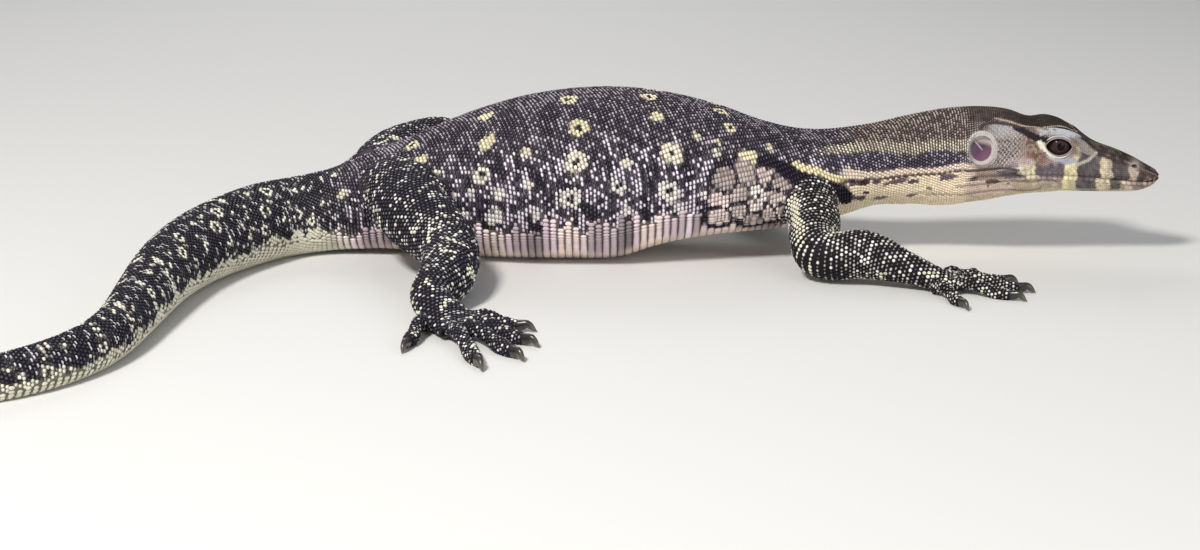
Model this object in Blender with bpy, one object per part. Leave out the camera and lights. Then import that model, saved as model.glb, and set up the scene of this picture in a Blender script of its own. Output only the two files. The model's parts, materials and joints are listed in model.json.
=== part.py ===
"""Young water monitor lizard, life size, lying on its belly on a floor.

The snout points to +X, the animal's right side to -Y, and the origin is on the floor,
in the flat that the belly rests on. The trunk, from the snout to the tip of the tail,
is one loft along a path over the floor, parted into lengths by thin vertical cuts.
Each leg is a loft through its joints, and each foot is a palm with five digits and claws.

Sizes are in millimetres. MM turns them to metres where a mesh is made.
"""

import math

import bmesh
import bpy
import numpy as np
from mathutils import Matrix, Vector

MM = 0.001
GAP = 0.3  # between nodes that meet

# Places along the trunk's path, counted forward from the origin
SNOUT = 217.5
HEAD_BACK = 137.0
NECK_BACK = 97.0
TAIL_FRONT = -98.0
TAIL_TIP = -578.0
TAIL_LENGTHS = 8

# Turns of the path: where each starts and ends, and by how many degrees it turns left
BENDS = (
    (100.0, 160.0, -7.0),
    (-99.0, -141.0, 51.0),
    (-117.0, -229.0, 37.0),
    (-252.0, -372.0, -84.0),
    (-400.0, -560.0, -30.0),
)
PATH_STEP = 0.5

# Sections of the body and tail: path position, half width, height of the back and of
# the belly, and the roundness of the upper and lower half, where 2 is an ellipse
BODY = (
    (172.0, 15.0, 56.6, 24.6, 2.2, 2.2),
    (150.0, 15.9, 57.6, 21.2, 2.2, 2.2),
    (136.0, 15.0, 56.7, 18.9, 2.2, 2.2),
    (120.0, 14.9, 53.5, 19.2, 2.2, 2.1),
    (108.0, 15.8, 50.6, 18.7, 2.1, 2.1),
    (98.0, 18.2, 48.9, 15.7, 2.1, 2.1),
    (88.0, 21.4, 47.8, 13.0, 2.1, 2.2),
    (78.0, 24.6, 48.1, 11.2, 2.1, 2.2),
    (64.0, 28.0, 51.2, 9.9, 2.1, 2.2),
    (48.0, 31.6, 56.9, 8.5, 2.1, 2.2),
    (28.0, 35.4, 62.0, 5.4, 2.1, 2.2),
    (20.0, 36.4, 63.3, 3.2, 2.1, 2.2),
    (9.0, 37.5, 64.3, -0.5, 2.1, 2.2),
    (-12.0, 38.0, 63.7, -1.4, 2.1, 2.2),
    (-30.0, 36.2, 60.8, -1.4, 2.1, 2.2),
    (-46.0, 32.0, 56.3, -1.1, 2.1, 2.2),
    (-60.0, 26.5, 51.2, 0.2, 2.1, 2.2),
    (-74.0, 21.4, 45.2, 0.9, 2.1, 2.1),
    (-88.0, 17.8, 39.2, 1.4, 2.1, 2.1),
    (-100.0, 15.8, 34.0, 0.9, 2.1, 2.1),
    (-116.0, 15.0, 30.2, -0.2, 2.0, 2.2),
    (-140.0, 14.6, 29.2, -0.4, 1.9, 2.3),
    (-170.0, 13.4, 27.2, -0.4, 1.8, 2.3),
    (-210.0, 11.0, 23.4, -0.4, 1.7, 2.3),
    (-260.0, 8.0, 18.0, -0.3, 1.7, 2.3),
    (-330.0, 5.6, 13.6, -0.3, 1.7, 2.3),
    (-420.0, 3.4, 9.2, -0.3, 1.7, 2.3),
    (-500.0, 2.0, 5.6, -0.3, 1.7, 2.3),
    (-560.0, 1.1, 2.9, -0.2, 1.8, 2.2),
    (-578.0, 0.6, 1.5, -0.1, 2.0, 2.0),
)

# Sections of the head: distance behind the snout's tip, height of the crown, of the
# mouth and of the throat, half width, share of it that the brow ridge spans, the
# ridge's drop below the crown, share that the temple spans, and the depth of the line
# of the mouth
HEAD = (
    (0.0, 33.4, 31.6, 30.9, 2.2, 0.55, 0.5, 0.93, 0.0),
    (0.6, 34.3, 31.4, 30.3, 3.3, 0.55, 0.7, 0.93, 0.15),
    (2.0, 35.2, 31.1, 29.2, 4.6, 0.55, 0.9, 0.93, 0.4),
    (5.0, 36.9, 31.0, 27.7, 6.0, 0.55, 1.3, 0.92, 0.6),
    (9.0, 39.1, 31.2, 26.8, 7.2, 0.56, 1.6, 0.91, 0.7),
    (16.0, 42.2, 31.8, 26.5, 8.7, 0.60, 1.9, 0.88, 0.8),
    (25.0, 45.3, 32.8, 26.5, 10.3, 0.68, 1.4, 0.86, 0.8),
    (31.0, 48.4, 33.4, 26.6, 11.6, 0.76, 0.8, 0.86, 0.8),
    (37.0, 52.1, 33.8, 26.7, 12.8, 0.83, 0.7, 0.88, 0.8),
    (43.0, 54.0, 34.1, 26.1, 14.0, 0.82, 1.1, 0.90, 0.7),
    (50.0, 53.9, 34.2, 25.6, 15.1, 0.75, 1.8, 0.94, 0.5),
    (58.0, 56.6, 33.9, 24.4, 16.0, 0.68, 2.6, 0.98, 0.1),
    (68.0, 57.8, 33.0, 22.2, 16.3, 0.62, 3.0, 0.97, 0.0),
    (80.0, 57.3, 31.5, 19.9, 15.6, 0.58, 3.0, 0.95, 0.0),
    (92.0, 55.6, 30.5, 18.8, 15.0, 0.58, 3.0, 0.95, 0.0),
)
# Guide points down one side of the head's section, as shares of the way round it:
# crown, brow ridge, temple, upper lip, mouth, lower lip, edge of the jaw, throat
GUIDES_AT = np.array((0, 3, 6, 9, 10, 11, 13, 16)) / 16
HEAD_TO_NECK = (131.0, 165.0)  # where the head's sections give way to the body's
TRUNK_SIDES = 32
TAIL_SIDES = 16
HEAD_RING_STEP = 2.4

EYE_BEHIND_SNOUT = 39.4
EYE_OUT = 7.6
EYE_HEIGHT = 45.1
EYE_RADIUS = 5.0
LID_THICKNESS = 1.1
LID_OPENING = (10.4, 6.6)  # length and height
LID_TILT = 5.0  # degrees that the front corner dips
EAR_BEHIND_SNOUT = 69.0
EAR_HEIGHT = 44.0
EAR_RADII = (4.5, 5.2)
EAR_RIM = 0.9
EAR_DEPTH = 1.3
DRUM_THICKNESS = 0.7
NOSTRIL_BEHIND_SNOUT = 9.6
NOSTRIL_HEIGHT = 36.8
NOSTRIL_RADIUS = 1.1

# Points down the middle of each leg: its root, buried in the trunk, the middle of its
# upper length, its bend, the middle of its lower length, its wrist or ankle, and the
# knuckles of its foot
LEGS = {
    "foreleg_right": (
        (79.0, -10.0, 27.0),
        (81.5, -30.0, 19.0),
        (83.0, -47.5, 10.5),
        (99.0, -51.0, 10.8),
        (116.0, -58.5, 6.8),
        (131.0, -61.0, 2.9),
    ),
    "foreleg_left": (
        (79.0, 10.0, 27.0),
        (70.0, 32.0, 20.0),
        (60.0, 50.0, 13.0),
        (71.0, 63.0, 9.5),
        (83.0, 75.0, 6.8),
        (94.0, 86.0, 2.9),
    ),
    "hindleg_right": (
        (-80.0, -6.0, 27.0),
        (-69.0, -35.0, 22.0),
        (-55.0, -60.0, 14.0),
        (-55.0, -80.0, 10.5),
        (-59.0, -101.0, 7.8),
        (-47.0, -119.5, 3.2),
    ),
    "hindleg_left": (
        (-88.0, 4.0, 26.0),
        (-80.0, 29.0, 31.0),
        (-66.0, 49.0, 33.0),
        (-75.0, 62.0, 21.5),
        (-86.0, 72.0, 8.5),
        (-69.0, 85.0, 3.2),
    ),
}
# Half thickness across and up at each of these points
LEG_GIRTHS = {
    "foreleg": (
        (12.0, 12.0),
        (9.8, 10.2),
        (9.0, 9.2),
        (9.0, 8.8),
        (5.8, 5.2),
        (8.2, 3.2),
    ),
    "hindleg": (
        (15.0, 15.0),
        (14.0, 13.4),
        (10.4, 10.4),
        (9.8, 9.4),
        (6.8, 6.4),
        (9.4, 3.6),
    ),
}
LEG_SIDES = 14
LEG_RINGS = (8, 7, 5)  # in the upper length, the lower one and the palm
LEG_NODES = {
    "foreleg": ("upper_arm", "forearm", "hand"),
    "hindleg": ("thigh", "shank", "foot"),
}
SLOPE_WINDOW = 0.09  # share of a leg or digit over which its direction is taken
PALM_FRONT = 1.5  # how far the palm reaches beyond its knuckles

# The digits of each foot from the inner one out: angle from the foot's heading,
# length, how far behind the knuckles it starts, and its half thickness
DIGITS = {
    "hand": (
        (-48.0, 15.0, 5.0, 2.0),
        (-20.0, 21.0, 2.0, 2.1),
        (0.0, 24.0, 1.0, 2.2),
        (19.0, 23.0, 2.0, 2.1),
        (62.0, 19.0, 7.0, 2.0),
    ),
    "foot": (
        (-42.0, 17.0, 7.0, 2.3),
        (-20.0, 25.0, 3.0, 2.4),
        (-3.0, 32.0, 1.0, 2.5),
        (15.0, 36.0, 2.0, 2.5),
        (44.0, 22.0, 13.0, 2.3),
    ),
}
# Down a digit: share of its length, rise above its tip and girth as a share
DIGIT_SHAPE = (
    (0.0, 0.6, 1.25),
    (0.38, 2.6, 1.0),
    (0.6, 1.2, 0.92),
    (0.8, 0.0, 1.08),
    (1.0, 0.0, 0.78),
)
CLAW_LENGTHS = {"hand": 6.5, "foot": 7.5}
DIGIT_SIDES = 8
DIGIT_RINGS = 7
CLAW_SIDES = 6
CLAW_RINGS = 5
CLAW_TIP = 0.25

COLOURS = {
    "dark_skin": ((0.055, 0.048, 0.062), 0.55),
    "pale_skin": ((0.42, 0.35, 0.22), 0.55),
    "claw": ((0.03, 0.026, 0.024), 0.3),
    "eye": ((0.05, 0.02, 0.018), 0.08),
    "eardrum": ((0.25, 0.12, 0.2), 0.35),
}


def hermite(knots, values, at):
    """A smooth curve through values at rising knots, with Catmull-Rom slopes."""
    knots = np.asarray(knots, float)
    values = np.asarray(values, float).reshape(len(knots), -1)
    at = np.atleast_1d(np.asarray(at, float)).clip(knots[0], knots[-1])
    slopes = np.gradient(values, knots, axis=0)
    i = np.searchsorted(knots, at, side="right").clip(1, len(knots) - 1) - 1
    span = (knots[i + 1] - knots[i])[:, None]
    t = (at[:, None] - knots[i][:, None]) / span
    return (
        (2 * t**3 - 3 * t**2 + 1) * values[i]
        + (t**3 - 2 * t**2 + t) * span * slopes[i]
        + (3 * t**2 - 2 * t**3) * values[i + 1]
        + (t**3 - t**2) * span * slopes[i + 1]
    )


def smoothstep(x):
    x = np.clip(x, 0, 1)
    return x * x * (3 - 2 * x)


def heading(s):
    """The path's direction over the floor at s, in radians to the left of +X."""
    turns = (turn * smoothstep((s - a) / (b - a)) for a, b, turn in BENDS)
    return np.radians(sum(turns))


def path_points():
    """Positions along the path, and the floor points there, worked out from its bends."""
    s = np.arange(TAIL_TIP, SNOUT + PATH_STEP, PATH_STEP)
    angle = heading(s)
    steps = np.stack([np.cos(angle), np.sin(angle)], 1)
    run = np.cumsum((steps[1:] + steps[:-1]) / 2 * PATH_STEP, axis=0)
    run = np.vstack([np.zeros(2), run])
    start = np.array([np.interp(0, s, run[:, k]) for k in (0, 1)])
    return s, run - start


PATH_S, PATH_XY = path_points()


def place(s, out, z):
    """World points that lie out to the left of the path at s, at height z."""
    x = np.interp(s, PATH_S, PATH_XY[:, 0]) - np.sin(heading(s)) * out
    y = np.interp(s, PATH_S, PATH_XY[:, 1]) + np.cos(heading(s)) * out
    return np.stack(np.broadcast_arrays(x, y, z), -1)


def body_side(s, share):
    """Out and height down one side of the body's section, from its back to its belly."""
    rows = np.array(BODY)[::-1]
    half, back, belly, round_up, round_down = hermite(rows[:, 0], rows[:, 1:], s)[0]
    middle = (back + belly) / 2
    angle = share * math.pi
    power = 2 / np.where(angle < math.pi / 2, round_up, round_down)
    out = half * np.abs(np.sin(angle)) ** power
    up = (back - middle) * np.sign(np.cos(angle)) * np.abs(np.cos(angle)) ** power
    return np.stack([out, middle + up], 1)


def head_side(s, share):
    """The same for the head, through its guide points."""
    rows = np.array(HEAD)
    values = hermite(rows[:, 0], rows[:, 1:], SNOUT - s)[0]
    crown, mouth, throat, half, brow, drop, temple, groove = values
    ridge = crown - drop
    guides = np.array(
        (
            (0, crown),
            (half * brow, ridge),
            (half * temple, mouth + 0.55 * (ridge - mouth)),
            (half, mouth + 0.12 * (ridge - mouth) + 0.4),
            (half - groove, mouth),
            (half * 0.98, mouth - 0.26 * (mouth - throat)),
            (half * 0.72, throat + 0.14 * (mouth - throat)),
            (0, throat),
        )
    )
    mirrored = guides * (-1, 1)
    knots = np.concatenate([[-GUIDES_AT[1]], GUIDES_AT, [2 - GUIDES_AT[-2]]])
    return hermite(knots, np.vstack([mirrored[1], guides, mirrored[-2]]), share)


def section(s, share):
    """Out and height down one side of the trunk's section at s."""
    low, high = HEAD_TO_NECK
    headness = smoothstep((s - low) / (high - low))
    side = (1 - headness) * body_side(s, share) if headness < 1 else 0
    return side + headness * head_side(s, share) if headness > 0 else side


def trunk_ring(s, sides, grow=0.0):
    """The trunk's section at s as world points, round from the back's midline."""
    side = section(s, np.linspace(0, 1, sides // 2 + 1))
    side[0, 0] = side[-1, 0] = 0
    if grow:
        middle = np.array((0, side[:, 1].mean()))
        away = side - middle
        side = side + grow * away / np.linalg.norm(away, axis=1)[:, None]
    side[:, 1] = np.maximum(side[:, 1], 0)
    ring = np.vstack([side, side[-2:0:-1] * (-1, 1)])
    return place(s, ring[:, 0], ring[:, 1])


def side_at(s, z):
    """How far out the trunk's side is at height z."""
    side = section(s, np.linspace(0, 1, 65))
    upper = side[: int(side[:, 0].argmax()) + 1][::-1]
    return float(np.interp(z, upper[:, 1], upper[:, 0]))


def mesh_object(name, bm, colour):
    """A node from a bmesh in millimetres, facing out, with its own material."""
    bmesh.ops.scale(bm, vec=(MM, MM, MM), verts=bm.verts)
    bmesh.ops.recalc_face_normals(bm, faces=bm.faces)
    mesh = bpy.data.meshes.new(name)
    bm.to_mesh(mesh)
    bm.free()
    mesh.materials.append(material(name, colour))
    mesh.shade_smooth()
    mesh.set_sharp_from_angle(angle=math.radians(50))
    obj = bpy.data.objects.new(name, mesh)
    animal.objects.link(obj)
    return obj


def material(name, colour):
    rgb, roughness = COLOURS[colour]
    made = bpy.data.materials.new(name)
    made.use_nodes = True
    shader = made.node_tree.nodes["Principled BSDF"]
    shader.inputs["Base Color"].default_value = (*rgb, 1)
    shader.inputs["Roughness"].default_value = roughness
    shader.inputs["Metallic"].default_value = 0
    return made


def loft(name, rings, colour):
    """A closed skin over rings of as many points each, with flat ends."""
    bm = bmesh.new()
    rows = [[bm.verts.new(point) for point in ring] for ring in rings]
    for near, far in zip(rows, rows[1:]):
        for k in range(len(near)):
            after = (k + 1) % len(near)
            bm.faces.new((near[k], near[after], far[after], far[k]))
    bm.faces.new(rows[0])
    bm.faces.new(reversed(rows[-1]))
    return mesh_object(name, bm, colour)


def frame_at(s, out, z):
    """Turns and moves a shape whose own X runs forward and Y out to the left."""
    turn = Matrix.Rotation(float(heading(s)), 4, "Z")
    return Matrix.Translation(Vector(place(s, out, z))) @ turn


def ball(name, frame, radii, colour, segments=14, rings=9):
    bm = bmesh.new()
    bmesh.ops.create_uvsphere(bm, u_segments=segments, v_segments=rings, radius=1)
    bmesh.ops.scale(bm, vec=radii, verts=bm.verts)
    bmesh.ops.transform(bm, matrix=frame, verts=bm.verts)
    return mesh_object(name, bm, colour)


def disc(name, frame, radii, thickness, colour, segments=16):
    """An oval disc that faces out to the side."""
    bm = bmesh.new()
    bmesh.ops.create_cone(
        bm,
        cap_ends=True,
        segments=segments,
        radius1=1,
        radius2=1,
        depth=thickness,
        matrix=Matrix.Rotation(math.pi / 2, 4, "X"),
    )
    bmesh.ops.scale(bm, vec=(radii[0], 1, radii[1]), verts=bm.verts)
    bmesh.ops.transform(bm, matrix=frame, verts=bm.verts)
    return mesh_object(name, bm, colour)


def hoop(name, frame, radii, thickness, colour, segments=16, sides=6):
    """An oval ring of round section that faces out to the side."""
    rings = []
    for k in range(segments):
        around = 2 * math.pi * k / segments
        spoke = np.array((math.cos(around), 0, math.sin(around)))
        centre = spoke * (radii[0], 0, radii[1])
        turns = 2 * math.pi * np.arange(sides) / sides
        ring = centre + thickness * (
            np.cos(turns)[:, None] * spoke + np.sin(turns)[:, None] * (0, 1, 0)
        )
        rings.append(ring)
    bm = bmesh.new()
    rows = [[bm.verts.new(point) for point in ring] for ring in rings]
    for near, far in zip(rows, rows[1:] + rows[:1]):
        for k in range(sides):
            after = (k + 1) % sides
            bm.faces.new((near[k], near[after], far[after], far[k]))
    bmesh.ops.transform(bm, matrix=frame, verts=bm.verts)
    return mesh_object(name, bm, colour)


def almond(name, frame, length, height, depth, colour, steps=8):
    """A prism between two arcs that meet in corners, facing out to the side."""
    radius = (length**2 + height**2) / (4 * height)
    half_turn = math.asin(length / 2 / radius)
    turns = np.linspace(-half_turn, half_turn, steps, endpoint=False)
    arc = radius * np.stack([np.sin(turns), np.cos(turns)], 1)
    arc[:, 1] -= radius - height / 2
    outline = np.vstack([arc, -arc])
    rings = [np.insert(outline, 1, y, axis=1) for y in (-depth / 2, depth / 2)]
    obj = loft(name, rings, colour)
    obj.data.transform(Matrix.Scale(MM, 4) @ frame @ Matrix.Scale(1 / MM, 4))
    return obj


def boolean(obj, others, operation):
    """Joins others to obj or cuts them from it, and keeps the largest closed surface."""
    tools = bpy.data.collections.new("tools")
    bpy.context.scene.collection.children.link(tools)
    for other in others:
        tools.objects.link(other)
    modifier = obj.modifiers.new("boolean", "BOOLEAN")
    modifier.operation = operation
    modifier.operand_type = "COLLECTION"
    modifier.collection = tools
    graph = bpy.context.evaluated_depsgraph_get()
    mesh = bpy.data.meshes.new_from_object(obj.evaluated_get(graph))
    obj.modifiers.clear()
    obj.data = mesh
    for other in others:
        bpy.data.objects.remove(other)
    bpy.data.collections.remove(tools)
    keep_largest(mesh)
    return obj


def keep_largest(mesh):
    """Drops every closed surface of the mesh but the one with the most faces."""
    bm = bmesh.new()
    bm.from_mesh(mesh)
    bmesh.ops.remove_doubles(bm, verts=bm.verts, dist=0.002 * MM)
    bmesh.ops.triangulate(bm, faces=bm.faces)
    left = set(bm.faces)
    shells = []
    while left:
        shell = set()
        front = [left.pop()]
        while front:
            face = front.pop()
            shell.add(face)
            near = {f for edge in face.edges for f in edge.link_faces} & left
            left -= near
            front.extend(near)
        shells.append(shell)
    shells.sort(key=len)
    scraps = [face for shell in shells[:-1] for face in shell]
    bmesh.ops.delete(bm, geom=scraps, context="FACES")
    bm.to_mesh(mesh)
    bm.free()


def trunk_length(name, back, front, step, sides, colour):
    """A length of the trunk, short of its neighbours by half a gap at each end."""
    back, front = back + GAP / 2, front - GAP / 2
    count = max(2, round((front - back) / step) + 1)
    rings = [trunk_ring(s, sides) for s in np.linspace(back, front, count)]
    return loft(name, rings, colour)


def head():
    """The head with its lids, nostrils, line of the mouth, and cups of the ears."""
    back = HEAD_BACK + GAP / 2
    depths = [row[0] for row in HEAD[:5]]
    count = round((SNOUT - depths[-1] - back) / HEAD_RING_STEP)
    places = list(np.linspace(back, SNOUT - depths[-1], count, endpoint=False))
    places += [SNOUT - depth for depth in reversed(depths)]
    obj = loft("head", [trunk_ring(s, TRUNK_SIDES) for s in places], "pale_skin")

    added, cut = [], []
    for side in (-1, 1):
        eye = frame_at(SNOUT - EYE_BEHIND_SNOUT, side * EYE_OUT, EYE_HEIGHT)
        lid = EYE_RADIUS + GAP + LID_THICKNESS
        added.append(ball("lids", eye, (lid, lid, lid), "pale_skin", 20, 12))
        hollow = EYE_RADIUS + GAP
        cut.append(ball("socket", eye, (hollow, hollow, hollow), "pale_skin", 20, 12))
        tilt = Matrix.Rotation(math.radians(LID_TILT), 4, "Y")
        out = Matrix.Translation((0, side * lid, 0))
        length, height = LID_OPENING
        slit = eye @ out @ tilt
        cut.append(almond("slit", slit, length, height, 2 * lid, "pale_skin"))
        ear = skin_frame(side, EAR_BEHIND_SNOUT, EAR_HEIGHT)
        rim = [radius + EAR_RIM / 2 for radius in EAR_RADII]
        added.append(hoop("rim", ear, rim, EAR_RIM, "pale_skin"))
        out = Matrix.Translation((0, side * EAR_DEPTH, 0))
        cut.append(disc("cup", ear @ out, EAR_RADII, 4 * EAR_DEPTH, "pale_skin"))
        nostril = skin_frame(side, NOSTRIL_BEHIND_SNOUT, NOSTRIL_HEIGHT)
        size = (NOSTRIL_RADIUS * 1.3, NOSTRIL_RADIUS, NOSTRIL_RADIUS)
        cut.append(ball("nostril", nostril, size, "pale_skin", 8, 6))
    boolean(obj, added, "UNION")
    boolean(obj, cut, "DIFFERENCE")


def skin_frame(side, behind, height, inward=0.0):
    """A frame on the head's side whose own Y is square to the skin, moved inward."""
    s = SNOUT - behind
    here, ahead, above = (
        Vector(place(s + ds, side * side_at(s + ds, height + dz), height + dz))
        for ds, dz in ((0, 0), (1, 0), (0, 1))
    )
    x = (ahead - here).normalized()
    y = (above - here).cross(x).normalized()
    turn = Matrix((x, y, x.cross(y))).transposed().to_4x4()
    return Matrix.Translation(here - side * inward * y) @ turn


def eyes_and_eardrums():
    for side, word in ((-1, "right"), (1, "left")):
        eye = frame_at(SNOUT - EYE_BEHIND_SNOUT, side * EYE_OUT, EYE_HEIGHT)
        ball(f"eye_{word}", eye, (EYE_RADIUS,) * 3, "eye")
        inward = EAR_DEPTH - GAP - DRUM_THICKNESS / 2
        drum = skin_frame(side, EAR_BEHIND_SNOUT, EAR_HEIGHT, inward)
        radii = [radius - GAP for radius in EAR_RADII]
        disc(f"eardrum_{word}", drum, radii, DRUM_THICKNESS, "eardrum")


def shares_of(points):
    """How far along the line through points each one is, as a share of its length."""
    lengths = np.linalg.norm(np.diff(points, axis=0), axis=1)
    return np.concatenate([[0], np.cumsum(lengths)]) / lengths.sum()


def tube(points, girths, sides, at):
    """Rings round a smooth curve through points, kept above the floor, and its slopes.

    girths holds the half thicknesses across and up at each point."""
    points = np.array(points, float)
    shares = shares_of(points)
    centres = hermite(shares, points, at)
    sizes = hermite(shares, girths, at)
    near = SLOPE_WINDOW * np.array((-1, 1))[:, None] + at
    slopes = hermite(shares, points, near[1]) - hermite(shares, points, near[0])
    slopes /= np.linalg.norm(slopes, axis=1)[:, None]
    turns = 2 * math.pi * (np.arange(sides) + 0.5) / sides
    rings = []
    for centre, (across, up), along in zip(centres, sizes, slopes):
        side = np.cross(along, (0, 0, 1))
        side = side / np.linalg.norm(side)
        over = np.cross(side, along)
        ring = centre + across * np.cos(turns)[:, None] * side
        rings.append(above_floor(ring + up * np.sin(turns)[:, None] * over))
    return rings, slopes


def above_floor(ring):
    ring[:, 2] = np.maximum(ring[:, 2], 0)
    return ring


def limb(name):
    """A leg in two lengths, the upper one cut to the trunk, and its foot."""
    kind, word = name.split("_")
    points = np.array(LEGS[name])
    girths = np.array(LEG_GIRTHS[kind])
    front = points[-1] - points[-2]
    front = points[-1] + PALM_FRONT * front / np.linalg.norm(front) * (1, 1, 0)
    points = np.vstack([points, front])
    girths = np.vstack([girths, girths[-1]])
    shares = shares_of(points)
    ends = (shares[0], shares[2], shares[4], shares[6])
    nodes = []
    for part, count, low, high in zip(LEG_NODES[kind], LEG_RINGS, ends, ends[1:]):
        at = np.linspace(low, high, count)
        rings, slopes = tube(points, girths, LEG_SIDES, at)
        if low:
            rings[0] = above_floor(rings[0] + slopes[0] * GAP)
        nodes.append(loft(f"{part}_{word}", rings, "dark_skin"))
    root = points[0][0]
    reach = 2.2 * girths[0][0]
    near = np.linspace(root - reach, root + reach, 15)
    hull = loft("hull", [trunk_ring(s, TRUNK_SIDES, GAP) for s in near], "dark_skin")
    boolean(nodes[0], [hull], "DIFFERENCE")
    add_digits(nodes[2], LEG_NODES[kind][2], word, points, girths[-1])


def add_digits(palm, kind, word, points, knuckles):
    """Fuses five digits with a palm, and gives them claws."""
    inner = 1 if word == "right" else -1
    ahead = points[5] - points[4]
    angle = math.degrees(math.atan2(ahead[1], ahead[0]))
    ahead = direction(angle)
    across = direction(angle + 90 * inner)
    shape = np.array(DIGIT_SHAPE)
    digits = []
    for number, (spread, length, back, half) in enumerate(DIGITS[kind], 1):
        out = (3 - number) / 2 * (knuckles[0] - half)
        base = points[5] - ahead * back + across * out
        toward = direction(angle - spread * inner)
        middle = base + shape[:, :1] * length * toward
        middle[:, 2] = 0.82 * half + shape[:, 1]
        girths = half * np.repeat(shape[:, 2:], 2, axis=1)
        at = np.linspace(0, 1, DIGIT_RINGS)
        rings, slopes = tube(middle, girths, DIGIT_SIDES, at)
        digits.append(loft(f"digit_{number}", rings, "dark_skin"))
        name = f"claw_{kind}_{word}_{number}"
        claw(name, middle[-1], slopes[-1], half, CLAW_LENGTHS[kind])
    boolean(palm, digits, "UNION")


def direction(degrees):
    """A level unit vector at a plan angle."""
    angle = math.radians(degrees)
    return np.array((math.cos(angle), math.sin(angle), 0))


def claw(name, end, toward, half, length):
    """A hooked cone ahead of a digit's end, level with it where they meet."""
    level = toward * (1, 1, 0)
    level /= np.linalg.norm(level)
    start = end + toward * GAP
    second = start + toward * length * 0.15
    middle = start + level * length * 0.55
    middle[2] = start[2] + 0.06 * length
    tip = start + level * length * 0.92
    tip[2] = 2 * CLAW_TIP
    thin = np.array((1.0, 0.9, 0.5, 0.0))[:, None]
    girths = half * np.array((0.62, 0.68)) * thin + CLAW_TIP
    at = np.linspace(0, 1, CLAW_RINGS)
    rings, _ = tube((start, second, middle, tip), girths, CLAW_SIDES, at)
    loft(name, rings, "claw")


def clear_scene():
    for obj in list(bpy.data.objects):
        bpy.data.objects.remove(obj)


clear_scene()
animal = bpy.data.collections.new("water_monitor")
bpy.context.scene.collection.children.link(animal)

head()
eyes_and_eardrums()
trunk_length("neck", NECK_BACK, HEAD_BACK, 6.5, TRUNK_SIDES, "pale_skin")
trunk_length("torso", TAIL_FRONT, NECK_BACK, 9.0, TRUNK_SIDES, "dark_skin")
tail_cuts = np.linspace(TAIL_FRONT, TAIL_TIP + GAP / 2, TAIL_LENGTHS + 1)
for number, (front, back) in enumerate(zip(tail_cuts, tail_cuts[1:]), 1):
    trunk_length(f"tail_{number}", back, front, 10.0, TAIL_SIDES, "dark_skin")
for leg in LEGS:
    limb(leg)
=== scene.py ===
import json
import math

import bmesh
import bpy
import numpy as np
from mathutils import Matrix, Vector
from mathutils.bvhtree import BVHTree
from mathutils.kdtree import KDTree

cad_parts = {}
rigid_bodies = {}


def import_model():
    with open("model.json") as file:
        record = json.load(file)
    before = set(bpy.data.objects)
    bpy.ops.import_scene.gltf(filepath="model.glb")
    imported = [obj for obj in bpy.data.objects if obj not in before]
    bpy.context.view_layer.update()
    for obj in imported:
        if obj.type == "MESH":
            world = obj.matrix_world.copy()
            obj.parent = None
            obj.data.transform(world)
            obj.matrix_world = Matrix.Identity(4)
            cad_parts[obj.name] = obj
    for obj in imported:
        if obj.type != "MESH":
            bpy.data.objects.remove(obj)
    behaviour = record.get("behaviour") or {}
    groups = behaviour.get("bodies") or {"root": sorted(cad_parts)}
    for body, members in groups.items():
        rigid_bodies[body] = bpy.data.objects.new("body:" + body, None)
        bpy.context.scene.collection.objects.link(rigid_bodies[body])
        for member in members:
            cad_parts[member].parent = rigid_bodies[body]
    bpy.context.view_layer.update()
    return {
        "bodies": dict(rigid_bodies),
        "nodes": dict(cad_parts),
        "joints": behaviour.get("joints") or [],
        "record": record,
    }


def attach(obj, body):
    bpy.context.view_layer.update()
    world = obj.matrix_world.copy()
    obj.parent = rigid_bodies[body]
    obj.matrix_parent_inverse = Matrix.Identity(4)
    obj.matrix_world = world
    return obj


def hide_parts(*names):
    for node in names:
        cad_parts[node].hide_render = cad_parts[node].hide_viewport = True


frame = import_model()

# Lengths are in millimetres and MM turns them to metres where a mesh is made.
MM = 0.001

# The shape's named sizes, as in the part's source

SNOUT = 217.5
TAIL_FRONT = -98.0
TAIL_TIP = -578.0
BENDS = (
    (100.0, 160.0, -7.0),
    (-99.0, -141.0, 51.0),
    (-117.0, -229.0, 37.0),
    (-252.0, -372.0, -84.0),
    (-400.0, -560.0, -30.0),
)
PATH_STEP = 0.5

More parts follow.
